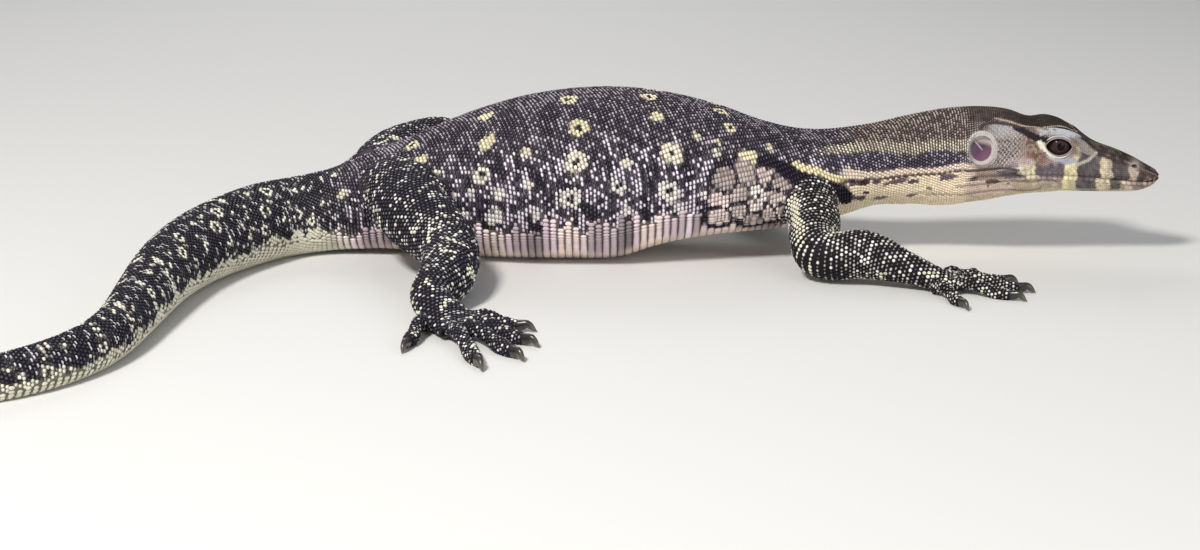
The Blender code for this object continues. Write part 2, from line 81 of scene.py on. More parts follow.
# Path position, half width, height of the back and of the belly, and the roundness of
# the upper and lower half of the section
BODY = (
    (172.0, 15.0, 56.6, 24.6, 2.2, 2.2),
    (150.0, 15.9, 57.6, 21.2, 2.2, 2.2),
    (136.0, 15.0, 56.7, 18.9, 2.2, 2.2),
    (120.0, 14.9, 53.5, 19.2, 2.2, 2.1),
    (108.0, 15.8, 50.6, 18.7, 2.1, 2.1),
    (98.0, 18.2, 48.9, 15.7, 2.1, 2.1),
    (88.0, 21.4, 47.8, 13.0, 2.1, 2.2),
    (78.0, 24.6, 48.1, 11.2, 2.1, 2.2),
    (64.0, 28.0, 51.2, 9.9, 2.1, 2.2),
    (48.0, 31.6, 56.9, 8.5, 2.1, 2.2),
    (28.0, 35.4, 62.0, 5.4, 2.1, 2.2),
    (20.0, 36.4, 63.3, 3.2, 2.1, 2.2),
    (9.0, 37.5, 64.3, -0.5, 2.1, 2.2),
    (-12.0, 38.0, 63.7, -1.4, 2.1, 2.2),
    (-30.0, 36.2, 60.8, -1.4, 2.1, 2.2),
    (-46.0, 32.0, 56.3, -1.1, 2.1, 2.2),
    (-60.0, 26.5, 51.2, 0.2, 2.1, 2.2),
    (-74.0, 21.4, 45.2, 0.9, 2.1, 2.1),
    (-88.0, 17.8, 39.2, 1.4, 2.1, 2.1),
    (-100.0, 15.8, 34.0, 0.9, 2.1, 2.1),
    (-116.0, 15.0, 30.2, -0.2, 2.0, 2.2),
    (-140.0, 14.6, 29.2, -0.4, 1.9, 2.3),
    (-170.0, 13.4, 27.2, -0.4, 1.8, 2.3),
    (-210.0, 11.0, 23.4, -0.4, 1.7, 2.3),
    (-260.0, 8.0, 18.0, -0.3, 1.7, 2.3),
    (-330.0, 5.6, 13.6, -0.3, 1.7, 2.3),
    (-420.0, 3.4, 9.2, -0.3, 1.7, 2.3),
    (-500.0, 2.0, 5.6, -0.3, 1.7, 2.3),
    (-560.0, 1.1, 2.9, -0.2, 1.8, 2.2),
    (-578.0, 0.6, 1.5, -0.1, 2.0, 2.0),
)

# Distance behind the snout, height of the crown, mouth and throat, half width, share
# that the brow spans, its drop, share that the temple spans, depth of the mouth's line
HEAD = (
    (0.0, 33.4, 31.6, 30.9, 2.2, 0.55, 0.5, 0.93, 0.0),
    (0.6, 34.3, 31.4, 30.3, 3.3, 0.55, 0.7, 0.93, 0.15),
    (2.0, 35.2, 31.1, 29.2, 4.6, 0.55, 0.9, 0.93, 0.4),
    (5.0, 36.9, 31.0, 27.7, 6.0, 0.55, 1.3, 0.92, 0.6),
    (9.0, 39.1, 31.2, 26.8, 7.2, 0.56, 1.6, 0.91, 0.7),
    (16.0, 42.2, 31.8, 26.5, 8.7, 0.60, 1.9, 0.88, 0.8),
    (25.0, 45.3, 32.8, 26.5, 10.3, 0.68, 1.4, 0.86, 0.8),
    (31.0, 48.4, 33.4, 26.6, 11.6, 0.76, 0.8, 0.86, 0.8),
    (37.0, 52.1, 33.8, 26.7, 12.8, 0.83, 0.7, 0.88, 0.8),
    (43.0, 54.0, 34.1, 26.1, 14.0, 0.82, 1.1, 0.90, 0.7),
    (50.0, 53.9, 34.2, 25.6, 15.1, 0.75, 1.8, 0.94, 0.5),
    (58.0, 56.6, 33.9, 24.4, 16.0, 0.68, 2.6, 0.98, 0.1),
    (68.0, 57.8, 33.0, 22.2, 16.3, 0.62, 3.0, 0.97, 0.0),
    (80.0, 57.3, 31.5, 19.9, 15.6, 0.58, 3.0, 0.95, 0.0),
    (92.0, 55.6, 30.5, 18.8, 15.0, 0.58, 3.0, 0.95, 0.0),
)
# Shares round the head of its guides: crown, brow, temple, upper lip, mouth, lower
# lip, jaw and throat
GUIDES_AT = np.array((0, 3, 6, 9, 10, 11, 13, 16)) / 16
MOUTH_AT = GUIDES_AT[4]
HEAD_TO_NECK = (131.0, 165.0)

EYE_BEHIND_SNOUT = 39.4
EYE_OUT = 7.6
EYE_HEIGHT = 45.1
EYE_RADIUS = 5.0
SOCKET_GAP = 0.12
LID_RADIUS = 6.4
LID_OPENING = (10.4, 6.6)
LID_TILT = 5.0
EAR_BEHIND_SNOUT = 69.0
EAR_HEIGHT = 44.0
EAR_RADII = (4.5, 5.2)
EAR_RIM = 0.9
EAR_DEPTH = 1.3
NOSTRIL_BEHIND_SNOUT = 9.6
NOSTRIL_HEIGHT = 36.8
NOSTRIL_RADIUS = 1.1
NOSTRIL_RIM = 0.45
# Points of the brow's ridge: distance behind the snout and height
BROW = ((25, 44.6), (29, 46.6), (34, 49.4), (40, 51.0), (46, 51.4), (52, 51.6), (58, 52.6))
BROW_RADIUS = 1.25

# Root, middle of the upper length, bend, middle of the lower length, wrist or ankle,
# and knuckles of each leg
LEGS = {
    "foreleg_right": (
        (79.0, -10.0, 27.0),
        (81.5, -30.0, 19.0),
        (83.0, -47.5, 10.5),
        (99.0, -51.0, 10.8),
        (116.0, -58.5, 6.8),
        (131.0, -61.0, 2.9),
    ),
    "foreleg_left": (
        (79.0, 10.0, 27.0),
        (70.0, 32.0, 20.0),
        (60.0, 50.0, 13.0),
        (71.0, 63.0, 9.5),
        (83.0, 75.0, 6.8),
        (94.0, 86.0, 2.9),
    ),
    "hindleg_right": (
        (-80.0, -6.0, 27.0),
        (-69.0, -35.0, 22.0),
        (-55.0, -60.0, 14.0),
        (-55.0, -80.0, 10.5),
        (-59.0, -101.0, 7.8),
        (-47.0, -119.5, 3.2),
    ),
    "hindleg_left": (
        (-88.0, 4.0, 26.0),
        (-80.0, 29.0, 31.0),
        (-66.0, 49.0, 33.0),
        (-75.0, 62.0, 21.5),
        (-86.0, 72.0, 8.5),
        (-69.0, 85.0, 3.2),
    ),
}
LEG_GIRTHS = {
    "foreleg": (
        (12.0, 12.0),
        (9.8, 10.2),
        (9.0, 9.2),
        (9.0, 8.8),
        (5.8, 5.2),
        (8.2, 3.2),
    ),
    "hindleg": (
        (15.0, 15.0),
        (14.0, 13.4),
        (10.4, 10.4),
        (9.8, 9.4),
        (6.8, 6.4),
        (9.4, 3.6),
    ),
}
LEG_NODES = {
    "foreleg": ("upper_arm", "forearm", "hand"),
    "hindleg": ("thigh", "shank", "foot"),
}
SLOPE_WINDOW = 0.09
PALM_FRONT = 1.5
# Angle, length, start behind the knuckles and half thickness of each digit
DIGITS = {
    "hand": (
        (-48.0, 15.0, 5.0, 2.0),
        (-20.0, 21.0, 2.0, 2.1),
        (0.0, 24.0, 1.0, 2.2),
        (19.0, 23.0, 2.0, 2.1),
        (62.0, 19.0, 7.0, 2.0),
    ),
    "foot": (
        (-42.0, 17.0, 7.0, 2.3),
        (-20.0, 25.0, 3.0, 2.4),
        (-3.0, 32.0, 1.0, 2.5),
        (15.0, 36.0, 2.0, 2.5),
        (44.0, 22.0, 13.0, 2.3),
    ),
}
# Share of a digit's length, rise above its tip and girth as a share
DIGIT_SHAPE = (
    (0.0, 0.6, 1.25),
    (0.38, 2.6, 1.0),
    (0.6, 1.2, 0.92),
    (0.8, 0.0, 1.08),
    (1.0, 0.0, 0.78),
)
CLAW_LENGTHS = {"hand": 6.5, "foot": 7.5}

# How finely the skin is drawn

TRUNK_COLUMNS = 88
RING_STEPS = ((SNOUT, 0.6), (140.0, 1.4), (TAIL_FRONT, 2.2), (TAIL_TIP, 2.2))
LEG_COLUMNS = 48
LEG_RING_STEP = 1.3
DIGIT_COLUMNS = 18
DIGIT_RINGS = 26
HOOP_SIDES = 8

# Colours, linear

BLACK = (0.010, 0.008, 0.011)
PURPLE_BLACK = (0.011, 0.008, 0.015)
TAIL_BLACK = (0.010, 0.009, 0.018)
NECK_BROWN = (0.014, 0.010, 0.010)
BROWN = (0.040, 0.027, 0.023)
# Partly the back scales' own pale tips, partly a painted highlight
BACK_MARK_AND_GLINT = (0.64, 0.57, 0.64)
FLANK_MARK = (0.86, 0.76, 0.88)
LILAC_WHITE = (0.80, 0.73, 0.80)
UPPER_SPOT = (0.76, 0.69, 0.48)
LOWER_SPOT = (0.82, 0.76, 0.71)
CREAM = (0.80, 0.77, 0.62)
PINK_CREAM = (0.72, 0.56, 0.47)
# The throat's pale yellow, made brighter than its own colour as painted light
LIT_THROAT_YELLOW = (0.92, 0.78, 0.56)

rng = np.random.default_rng(7)


def hermite(knots, values, at):
    """A smooth curve through values at rising knots, with Catmull-Rom slopes."""
    knots = np.asarray(knots, float)
    values = np.asarray(values, float).reshape(len(knots), -1)
    at = np.atleast_1d(np.asarray(at, float)).clip(knots[0], knots[-1])
    slopes = np.gradient(values, knots, axis=0)
    i = np.searchsorted(knots, at, side="right").clip(1, len(knots) - 1) - 1
    span = (knots[i + 1] - knots[i])[:, None]
    t = (at[:, None] - knots[i][:, None]) / span
    return (
        (2 * t**3 - 3 * t**2 + 1) * values[i]
        + (t**3 - 2 * t**2 + t) * span * slopes[i]
        + (3 * t**2 - 2 * t**3) * values[i + 1]
        + (t**3 - t**2) * span * slopes[i + 1]
    )


def smoothstep(x):
    x = np.clip(x, 0, 1)
    return x * x * (3 - 2 * x)


def ramp(x, low, high):
    return smoothstep((x - low) / (high - low))


def bump(x, width):
    """1 at 0, falling smoothly to nearly 0 beyond width."""
    return np.exp(-((x / width) ** 2) * 2)


def round_angles(count, offset=0.0):
    """Angles evenly round a full turn."""
    return 2 * math.pi * (np.arange(count) + offset) / count


def unit_rows(rows):
    """Each row scaled to a length of 1."""
    return rows / np.maximum(np.linalg.norm(rows, axis=-1), 1e-9)[..., None]


def read_table(table, at):
    """Values between the rows of a table of two columns."""
    return np.interp(at, *np.array(table).T)


def blend(colour, other, amount):
    """Moves colours towards another one by amounts from 0 to 1."""
    return colour + (np.asarray(other) - colour) * np.asarray(amount)[..., None]


def as_columns(*values):
    """Numbers or arrays side by side, as the columns of one array."""
    return np.stack(np.broadcast_arrays(*values), -1)


def heading(s):
    turns = (turn * smoothstep((s - a) / (b - a)) for a, b, turn in BENDS)
    return np.radians(sum(turns))


def path_points():
    s = np.arange(TAIL_TIP, SNOUT + PATH_STEP, PATH_STEP)
    angle = heading(s)
    steps = as_columns(np.cos(angle), np.sin(angle))
    run = np.cumsum((steps[1:] + steps[:-1]) / 2 * PATH_STEP, axis=0)
    run = np.vstack([np.zeros(2), run])
    start = np.array([np.interp(0, s, run[:, k]) for k in (0, 1)])
    return s, run - start


PATH_S, PATH_XY = path_points()


def place(s, out, z):
    """World points that lie out to the left of the path at s, at height z."""
    beyond = np.maximum(s - SNOUT, 0)
    x = np.interp(s, PATH_S, PATH_XY[:, 0]) - np.sin(heading(s)) * out
    y = np.interp(s, PATH_S, PATH_XY[:, 1]) + np.cos(heading(s)) * out
    x = x + beyond * np.cos(heading(s))
    y = y + beyond * np.sin(heading(s))
    return as_columns(x, y, z)


def body_side(s, share):
    rows = np.array(BODY)[::-1]
    half, back, belly, round_up, round_down = hermite(rows[:, 0], rows[:, 1:], s)[0]
    middle = (back + belly) / 2
    angle = share * math.pi
    power = 2 / np.where(angle < math.pi / 2, round_up, round_down)
    out = half * np.abs(np.sin(angle)) ** power
    up = (back - middle) * np.sign(np.cos(angle)) * np.abs(np.cos(angle)) ** power
    return as_columns(out, middle + up)


def head_sizes(s):
    rows = np.array(HEAD)
    return hermite(rows[:, 0], rows[:, 1:], SNOUT - s).T


def head_side(s, share):
    crown, mouth, throat, half, brow, drop, temple, groove = head_sizes(s)[:, 0]
    ridge = crown - drop
    guides = np.array(
        (
            (0, crown),
            (half * brow, ridge),
            (half * temple, mouth + 0.55 * (ridge - mouth)),
            (half, mouth + 0.12 * (ridge - mouth) + 0.4),
            (half - groove, mouth),
            (half * 0.98, mouth - 0.26 * (mouth - throat)),
            (half * 0.72, throat + 0.14 * (mouth - throat)),
            (0, throat),
        )
    )
    mirrored = guides * (-1, 1)
    knots = np.concatenate([[-GUIDES_AT[1]], GUIDES_AT, [2 - GUIDES_AT[-2]]])
    return hermite(knots, np.vstack([mirrored[1], guides, mirrored[-2]]), share)


def section(s, share):
    """Out and height down one side of the trunk's section at s."""
    low, high = HEAD_TO_NECK
    headness = smoothstep((s - low) / (high - low))
    side = (1 - headness) * body_side(s, share) if headness < 1 else 0
    return side + headness * head_side(s, share) if headness > 0 else side


def ring_places():
    """Path positions of the skin's rings, closer together on the head."""
    places = []
    for (front, step), (back, _) in zip(RING_STEPS, RING_STEPS[1:]):
        places += list(np.linspace(back, front, round((front - back) / step), False))
    return np.array(sorted(places) + [SNOUT])


def column_shares():
    """Shares down a side, closer together by the line of the mouth."""
    fine = np.linspace(0, 1, 2001)
    density = 1 + 2.6 * bump(fine - MOUTH_AT, 0.05)
    count = np.cumsum(density)
    count = (count - count[0]) / (count[-1] - count[0])
    return np.interp(np.linspace(0, 1, TRUNK_COLUMNS + 1), count, fine)


class Trunk:
    """Tables of the trunk's side, out, height and way down from the back's midline."""

    def __init__(self):
        self.s = ring_places()
        self.share = column_shares()
        sides = np.stack([section(s, self.share) for s in self.s])
        sides[:, (0, -1), 0] = 0
        self.smooth = sides
        self.arc = self.arcs(sides)
        self.side = sides

    def arcs(self, sides):
        steps = np.linalg.norm(np.diff(sides, axis=1), axis=2)
        return np.concatenate([np.zeros((len(sides), 1)), np.cumsum(steps, 1)], 1)

    def look_up(self, table, s, share):
        s, share = np.broadcast_arrays(s, share)
        i = np.clip(np.searchsorted(self.s, s, side="right") - 1, 0, len(self.s) - 2)
        j = np.searchsorted(self.share, share, side="right") - 1
        j = np.clip(j, 0, len(self.share) - 2)
        a = (s - self.s[i]) / (self.s[i + 1] - self.s[i])
        b = (share - self.share[j]) / (self.share[j + 1] - self.share[j])
        a, b = np.clip(a, 0, 1), np.clip(b, 0, 1)
        if table.ndim == 3:
            a, b = a[..., None], b[..., None]
        near = table[i, j] * (1 - b) + table[i, j + 1] * b
        far = table[i + 1, j] * (1 - b) + table[i + 1, j + 1] * b
        return near * (1 - a) + far * a

    def point(self, s, share, side):
        out, z = np.moveaxis(self.look_up(self.side, s, share), -1, 0)
        return place(s, out * side, z)

    def arc_at(self, s, share):
        return self.look_up(self.arc, s, share)

    def arc_slope(self, s, share):
        """How many millimetres down the side one whole share is there."""
        return (self.arc_at(s, share + 0.01) - self.arc_at(s, share - 0.01)) / 0.02

    def raise_by(self, heights):
        """Moves the side out by heights, square to each section."""
        slope = np.gradient(self.smooth, axis=1)
        normal = unit_rows(as_columns(-slope[..., 1], slope[..., 0]))
        self.side = self.smooth + normal * heights[..., None]
        self.side[:, (0, -1), 0] = 0

    def rings(self):
        rings = []
        for s, side in zip(self.s, self.side):
            ring = np.vstack([side, side[-2:0:-1] * (-1, 1)])
            ring[:, 1] = np.maximum(ring[:, 1], 0)
            rings.append(place(s, ring[:, 0], ring[:, 1]))
        return rings


def noise(x, y, seed=0):
    """Smooth noise from 0 to 1 over a lattice of unit cells."""
    xi, yi = np.floor(x), np.floor(y)
    fx, fy = smoothstep(x - xi), smoothstep(y - yi)

    def corner(dx, dy):
        value = np.sin((xi + dx) * 127.1 + (yi + dy) * 311.7 + seed * 74.7) * 43758.5453
        return value - np.floor(value)

    top = corner(0, 0) * (1 - fx) + corner(1, 0) * fx
    low = corner(0, 1) * (1 - fx) + corner(1, 1) * fx
    return top * (1 - fy) + low * fy


trunk = Trunk()


def polyline_distance(points, line):
    """How far each point is from a line of straight stretches."""
    best = np.full(points.shape[:-1], np.inf)
    for a, b in zip(line, line[1:]):
        along = b - a
        t = np.clip((points - a) @ along / (along @ along), 0, 1)
        gap = np.linalg.norm(points - a - t[..., None] * along, axis=-1)
        best = np.minimum(best, gap)
    return best


def line_distance(s, share, points):
    """How far, in millimetres over the skin, each place is from a line on one side."""
    points = np.array(points, float)
    ends = as_columns(points[:, 0], trunk.arc_at(points[:, 0], points[:, 1]))
    here = as_columns(s, trunk.arc_at(s, share))
    return polyline_distance(here, ends)


# Folds of the skin: points as path position and share down the side, depth and width
FOLDS = (
    (
        ((92, 0.492), (104, 0.53), (116, 0.553), (133, 0.55), (138.6, 0.54), (148, 0.555), (163, 0.575)),
        0.8,
        0.7
    ),
    (((95, 0.30), (94, 0.42), (96, 0.55), (99, 0.66)), 0.7, 0.9),
    (((91, 0.36), (90, 0.47), (91, 0.6)), 0.4, 0.8),
    (((140, 0.66), (152, 0.675), (166, 0.69), (178, 0.70)), 0.5, 0.5),
    (((128, 0.72), (142, 0.74), (158, 0.75), (172, 0.77)), 0.45, 0.6),
    (((146, 0.60), (156, 0.615), (164, 0.61)), 0.3, 0.45),
    (((-48, 0.30), (-58, 0.40), (-62, 0.5)), 0.5, 1.4),
    (((-40, 0.62), (-52, 0.62), (-62, 0.58)), 0.5, 1.4),
    (((68, 0.60), (66, 0.70), (62, 0.78)), 0.5, 1.2),
)
SHADE_LINES = FOLDS[:1] + FOLDS[3:6]


def trunk_relief(s, share):
    """Folds, lips and muscles of the trunk, as heights over its plain form."""
    height = np.zeros(np.broadcast(s, share).shape)
    s, share = np.broadcast_arrays(s, share)
    behind = SNOUT - s
    arc = trunk.arc_at(s, share)
    mouth = trunk.arc_at(s, MOUTH_AT)
    lips = (1 - ramp(behind, 52, 62)) * ramp(behind, 0.3, 3)
    height += lips * (0.22 * bump(np.abs(arc - mouth) - 1.1, 1.0))
    height -= lips * 0.35 * bump(arc - mouth, 0.42)
    for points, depth, width in FOLDS:
        height -= depth * bump(line_distance(s, share, points), width)
        height += 0.35 * depth * bump(line_distance(s, share, points) - 2 * width, width * 1.4)
    loose = ramp(s, 100, 120) * (1 - ramp(s, 150, 168)) * ramp(share, 0.6, 0.7)
    height += loose * 0.25 * np.sin(arc * 2.2 + 2 * noise(s / 9, arc / 5, 3) + s * 0.02)
    body = ramp(s, -70, -30) * (1 - ramp(s, 50, 75)) * ramp(share, 0.1, 0.3) * (1 - ramp(share, 0.55, 0.7))
    height += body * 0.3 * np.sin(s / 5.2 + share * 3)
    return height


grid_s, grid_share = np.meshgrid(trunk.s, trunk.share, indexing="ij")
trunk.raise_by(trunk_relief(grid_s, grid_share))


def shares_of(points):
    lengths = np.linalg.norm(np.diff(points, axis=0), axis=1)
    return np.concatenate([[0], np.cumsum(lengths)]) / lengths.sum()


def tube(points, girths, sides, at):
    """Rings round a smooth curve through points, kept above the floor, and its slopes."""
    points = np.array(points, float)
    shares = shares_of(points)
    centres = hermite(shares, points, at)
    sizes = hermite(shares, girths, at)
    near = SLOPE_WINDOW * np.array((-1, 1))[:, None] + at
    slopes = unit_rows(hermite(shares, points, near[1]) - hermite(shares, points, near[0]))
    turns = round_angles(sides, 0.5)
    rings = []
    for centre, (across, up), along in zip(centres, sizes, slopes):
        side = np.cross(along, (0, 0, 1))
        side = side / np.linalg.norm(side)
        over = np.cross(side, along)
        ring = centre + across * np.cos(turns)[:, None] * side
        ring = ring + up * np.sin(turns)[:, None] * over
        ring[:, 2] = np.maximum(ring[:, 2], 0)
        rings.append(ring)
    return np.array(rings), slopes


def direction(degrees):
    angle = math.radians(degrees)
    return np.array((math.cos(angle), math.sin(angle), 0))


def leg_tube(name):
    kind = name.split("_")[0]
    points = np.array(LEGS[name])
    girths = np.array(LEG_GIRTHS[kind])
    front = points[-1] - points[-2]
    front = points[-1] + PALM_FRONT * front / np.linalg.norm(front) * (1, 1, 0)
    points = np.vstack([points, front])
    girths = np.vstack([girths, girths[-1]])
    length = np.linalg.norm(np.diff(points, axis=0), axis=1).sum()
    at = np.linspace(0, 1, round(length / LEG_RING_STEP))
    rings, _ = tube(points, girths, LEG_COLUMNS, at)
    return points, girths, rings


def leg_digits(name, points, girths):
    """Rings of each digit, and the end, slope and girth where its claw starts."""
    kind, word = name.split("_")
    kind = LEG_NODES[kind][2]
    inner = 1 if word == "right" else -1
    ahead = points[5] - points[4]
    angle = math.degrees(math.atan2(ahead[1], ahead[0]))
    ahead = direction(angle)
    across = direction(angle + 90 * inner)
    shape = np.array(DIGIT_SHAPE)
    made = []
    for number, (spread, length, back, half) in enumerate(DIGITS[kind], 1):
        out = (3 - number) / 2 * (girths[-1][0] - half)
        base = points[5] - ahead * back + across * out
        toward = direction(angle - spread * inner)
        middle = base + shape[:, :1] * length * toward
        middle[:, 2] = 0.82 * half + shape[:, 1]
        size = half * np.repeat(shape[:, 2:], 2, axis=1)
        at = np.linspace(0, 1, DIGIT_RINGS)
        rings, slopes = tube(middle, size, DIGIT_COLUMNS, at)
        made.append(
            (f"claw_{kind}_{word}_{number}", rings, middle[-1], slopes[-1], half, CLAW_LENGTHS[kind])
        )
    return made


# Making meshes


def add_object(name, data):
    obj = bpy.data.objects.new(name, data)
    bpy.context.scene.collection.objects.link(obj)
    return obj


def mesh_from(name, points, faces):
    """A smooth object that faces out, from points in millimetres and lists of indices."""
    mesh = bpy.data.meshes.new(name)
    mesh.from_pydata((np.asarray(points) * MM).tolist(), [], faces)
    mesh.validate()
    mesh.shade_smooth()
    bm = bmesh.new()
    bm.from_mesh(mesh)
    bmesh.ops.recalc_face_normals(bm, faces=bm.faces)
    bm.to_mesh(mesh)
    bm.free()
    return add_object(name, mesh)


def mesh_points(mesh):
    """The points of a mesh in millimetres."""
    co = np.empty(len(mesh.vertices) * 3)
    mesh.vertices.foreach_get("co", co)
    return co.reshape(-1, 3) / MM


def grid_faces(rows, columns, start=0):
    """Quads between rings of as many points each."""
    i, j = np.meshgrid(np.arange(rows - 1), np.arange(columns), indexing="ij")
    here, after = i * columns + j, i * columns + (j + 1) % columns
    quads = np.stack([here, after, after + columns, here + columns], -1)
    return (quads.reshape(-1, 4) + start).tolist()


def cap_faces(rows, columns, start=0):
    """Flat ends over the first and the last ring."""
    first = [start + k for k in range(columns)]
    return [first[::-1], [(rows - 1) * columns + k for k in first]]


def band_faces(rows, columns, start=0):
    """Quads that join the last ring to the first, round a loop."""
    first = [start + k for k in range(columns)]
    last = [(rows - 1) * columns + k for k in first]
    return [[last[k - 1], last[k], first[k], first[k - 1]] for k in range(columns)]


def loft(name, rings):
    """A closed skin over rings of as many points each, with flat ends, facing out."""
    rings = np.asarray(rings)
    rows, columns = rings.shape[:2]
    return mesh_from(name, rings.reshape(-1, 3), grid_faces(rows, columns) + cap_faces(rows, columns))


def rounded_end(ring, along, reach, steps=5):
    """More rings that close a blunt end over a round nose."""
    middle = ring.mean(axis=0)
    made = []
    for k in range(1, steps + 1):
        turn = k / (steps + 0.35) * math.pi / 2
        made.append(middle + (ring - middle) * math.cos(turn) + along * reach * math.sin(turn))
    return made


def boolean(obj, others, operation):
    """Joins others to obj, or cuts them from it."""
    tools = bpy.data.collections.new("tools")
    bpy.context.scene.collection.children.link(tools)
    for other in others:
        tools.objects.link(other)
    modifier = obj.modifiers.new("boolean", "BOOLEAN")
    modifier.operation = operation
    modifier.solver = "MANIFOLD"
    modifier.operand_type = "COLLECTION"
    modifier.collection = tools
    graph = bpy.context.evaluated_depsgraph_get()
    mesh = bpy.data.meshes.new_from_object(obj.evaluated_get(graph))
    obj.modifiers.clear()
    obj.data = mesh
    for other in others:
        bpy.data.objects.remove(other)
    bpy.data.collections.remove(tools)


def frame_at(s, out, z):
    """Turns and moves a shape whose own X runs forward and Y out to the left."""
    turn = Matrix.Rotation(float(heading(s)), 4, "Z")
    return Matrix.Translation(Vector(place(s, out, z))) @ turn


def share_at(s, z):
    """The share down the side where the upper trunk reaches height z."""
    shares = np.linspace(0, 1, 400)
    side = trunk.look_up(trunk.smooth, s, shares)
    upper = side[: int(side[:, 0].argmax()) + 1, 1][::-1]
    return float(np.interp(z, upper, shares[: len(upper)][::-1]))


def skin_frame(side, behind, height, inward=0.0):
    """A frame on the head's side whose own Y is square to the skin, moved inward."""
    s = SNOUT - behind

    def skin_point(ds, dz):
        share = share_at(s + ds, height + dz)
        return Vector(trunk.point(s + ds, share, side))

    here, ahead, above = skin_point(0, 0), skin_point(1, 0), skin_point(0, 1)
    x = (ahead - here).normalized()
    y = (above - here).cross(x).normalized()
    turn = Matrix((x, y, x.cross(y))).transposed().to_4x4()
    return Matrix.Translation(here - side * inward * y) @ turn


def eye_frame(side):
    """A frame in the middle of an eye."""
    return frame_at(SNOUT - EYE_BEHIND_SNOUT, side * EYE_OUT, EYE_HEIGHT)


def lid_frame(side):
    """The eye's frame, tilted as the opening of its lids is."""
    return eye_frame(side) @ Matrix.Rotation(math.radians(LID_TILT), 4, "Y")


def ear_frame(side, inward=0.0):
    return skin_frame(side, EAR_BEHIND_SNOUT, EAR_HEIGHT, inward)


def nostril_frame(side):
    return skin_frame(side, NOSTRIL_BEHIND_SNOUT, NOSTRIL_HEIGHT)


def apply(matrix, points):
    matrix = np.array(matrix)
    return np.asarray(points) @ matrix[:3, :3].T + matrix[:3, 3]


def ball(name, frame, radii, columns=40, rows=26):
    turns = round_angles(columns)
    rings = []
    for tilt in math.pi * (np.arange(rows) + 0.5) / rows:
        ring = as_columns(np.sin(tilt) * np.cos(turns), np.sin(tilt) * np.sin(turns), np.cos(tilt))
        rings.append(apply(frame, ring * radii))
    return loft(name, rings)


def pipe(name, points, radii, sides=10):
    """A round rod of changing radius through points."""
    slopes = unit_rows(np.gradient(points, axis=0))
    turns = round_angles(sides)
    rings = []
    for point, slope, radius in zip(points, slopes, radii):
        side = np.cross(slope, (0, 0, 1.0))
        side /= np.linalg.norm(side)
        over = np.cross(side, slope)
        rings.append(point + radius * (np.cos(turns)[:, None] * side + np.sin(turns)[:, None] * over))
    return loft(name, rings)


def hoop_points(frame, centres, normals, radius):
    """Points of a closed rod round centres, whose sections hold the given normals."""
    spokes = unit_rows(np.roll(centres, -1, 0) - np.roll(centres, 1, 0))
    across = np.cross(spokes, normals)[:, None]
    turns = round_angles(HOOP_SIDES)[None, :, None]
    radius = np.broadcast_to(radius, len(centres))[:, None, None]
    rings = centres[:, None] + radius * (np.cos(turns) * across + np.sin(turns) * normals[:, None])
    return apply(frame, rings.reshape(-1, 3))


def hoop(name, frame, centres, normals, radius):
    points = hoop_points(frame, centres, normals, radius)
    sizes = (len(centres), HOOP_SIDES)
    return mesh_from(name, points, grid_faces(*sizes) + band_faces(*sizes))


def almond_outline(length, height, steps):
    """Points round an almond in its own plane, as forward and up."""
    radius = (length**2 + height**2) / (4 * height)
    half_turn = math.asin(length / 2 / radius)
    turns = np.linspace(-half_turn, half_turn, steps, endpoint=False)
    arc = radius * as_columns(np.sin(turns), np.cos(turns))
    arc[:, 1] -= radius - height / 2
    return np.vstack([arc, -arc])


def prism(name, frame, outline, depth):
    rings = [np.insert(outline, 1, y, axis=1) for y in (-depth / 2, depth / 2)]
    return loft(name, [apply(frame, ring) for ring in rings])


# The skin

leg_parts = {name: leg_tube(name) for name in LEGS}
digit_parts = {name: leg_digits(name, *leg_parts[name][:2]) for name in LEGS}

rings = trunk.rings()
nose = rings[-1]
ahead = direction(math.degrees(heading(SNOUT)))
rings += rounded_end(nose, ahead, 0.9)
skin = loft("skin", rings)

joined = []
for name in LEGS:
    joined.append(loft(name, leg_parts[name][2]))
    for claw_name, digit_rings, _, slope, _, _ in digit_parts[name]:
        closed = list(digit_rings) + rounded_end(digit_rings[-1], slope, 0.5)
        joined.append(loft(claw_name + "_digit", closed))
SIDES = ((-1, "right"), (1, "left"))
turns = round_angles(40)
circle = as_columns(np.cos(turns), 0, np.sin(turns))
normals = as_columns(np.zeros(40), 1, 0)
for side, word in SIDES:
    joined.append(ball("lids", eye_frame(side), (LID_RADIUS,) * 3))
    brow = [trunk.point(SNOUT - behind, share_at(SNOUT - behind, z), side) for behind, z in BROW]
    brow = hermite(np.arange(len(brow)), brow, np.linspace(0, len(brow) - 1, 30))
    joined.append(pipe("brow", brow, BROW_RADIUS * np.sin(np.linspace(0.25, 2.9, 30)) + 0.1))
    rim = circle * (EAR_RADII[0] + EAR_RIM / 2, 0, EAR_RADII[1] + EAR_RIM / 2)
    joined.append(hoop("rim", ear_frame(side), rim, normals, EAR_RIM))
    ring = circle * (NOSTRIL_RADIUS * 1.5, 0, NOSTRIL_RADIUS * 1.25)
    joined.append(hoop("nostril_rim", nostril_frame(side), ring, normals, NOSTRIL_RIM))
boolean(skin, joined, "UNION")


# Where pieces of skin meet: the least fold that is rounded, and how far from it the skin
# moves at a leg's root and elsewhere
JOIN_FOLD = 22
ROOT_REACH = 26
ROOT_ROUNDING = 7.0
FINE_ROUNDING = 1.1


def search_tree(points):
    tree = KDTree(len(points))
    for k, point in enumerate(points):
        tree.insert(point, k)
    tree.balance()
    return tree


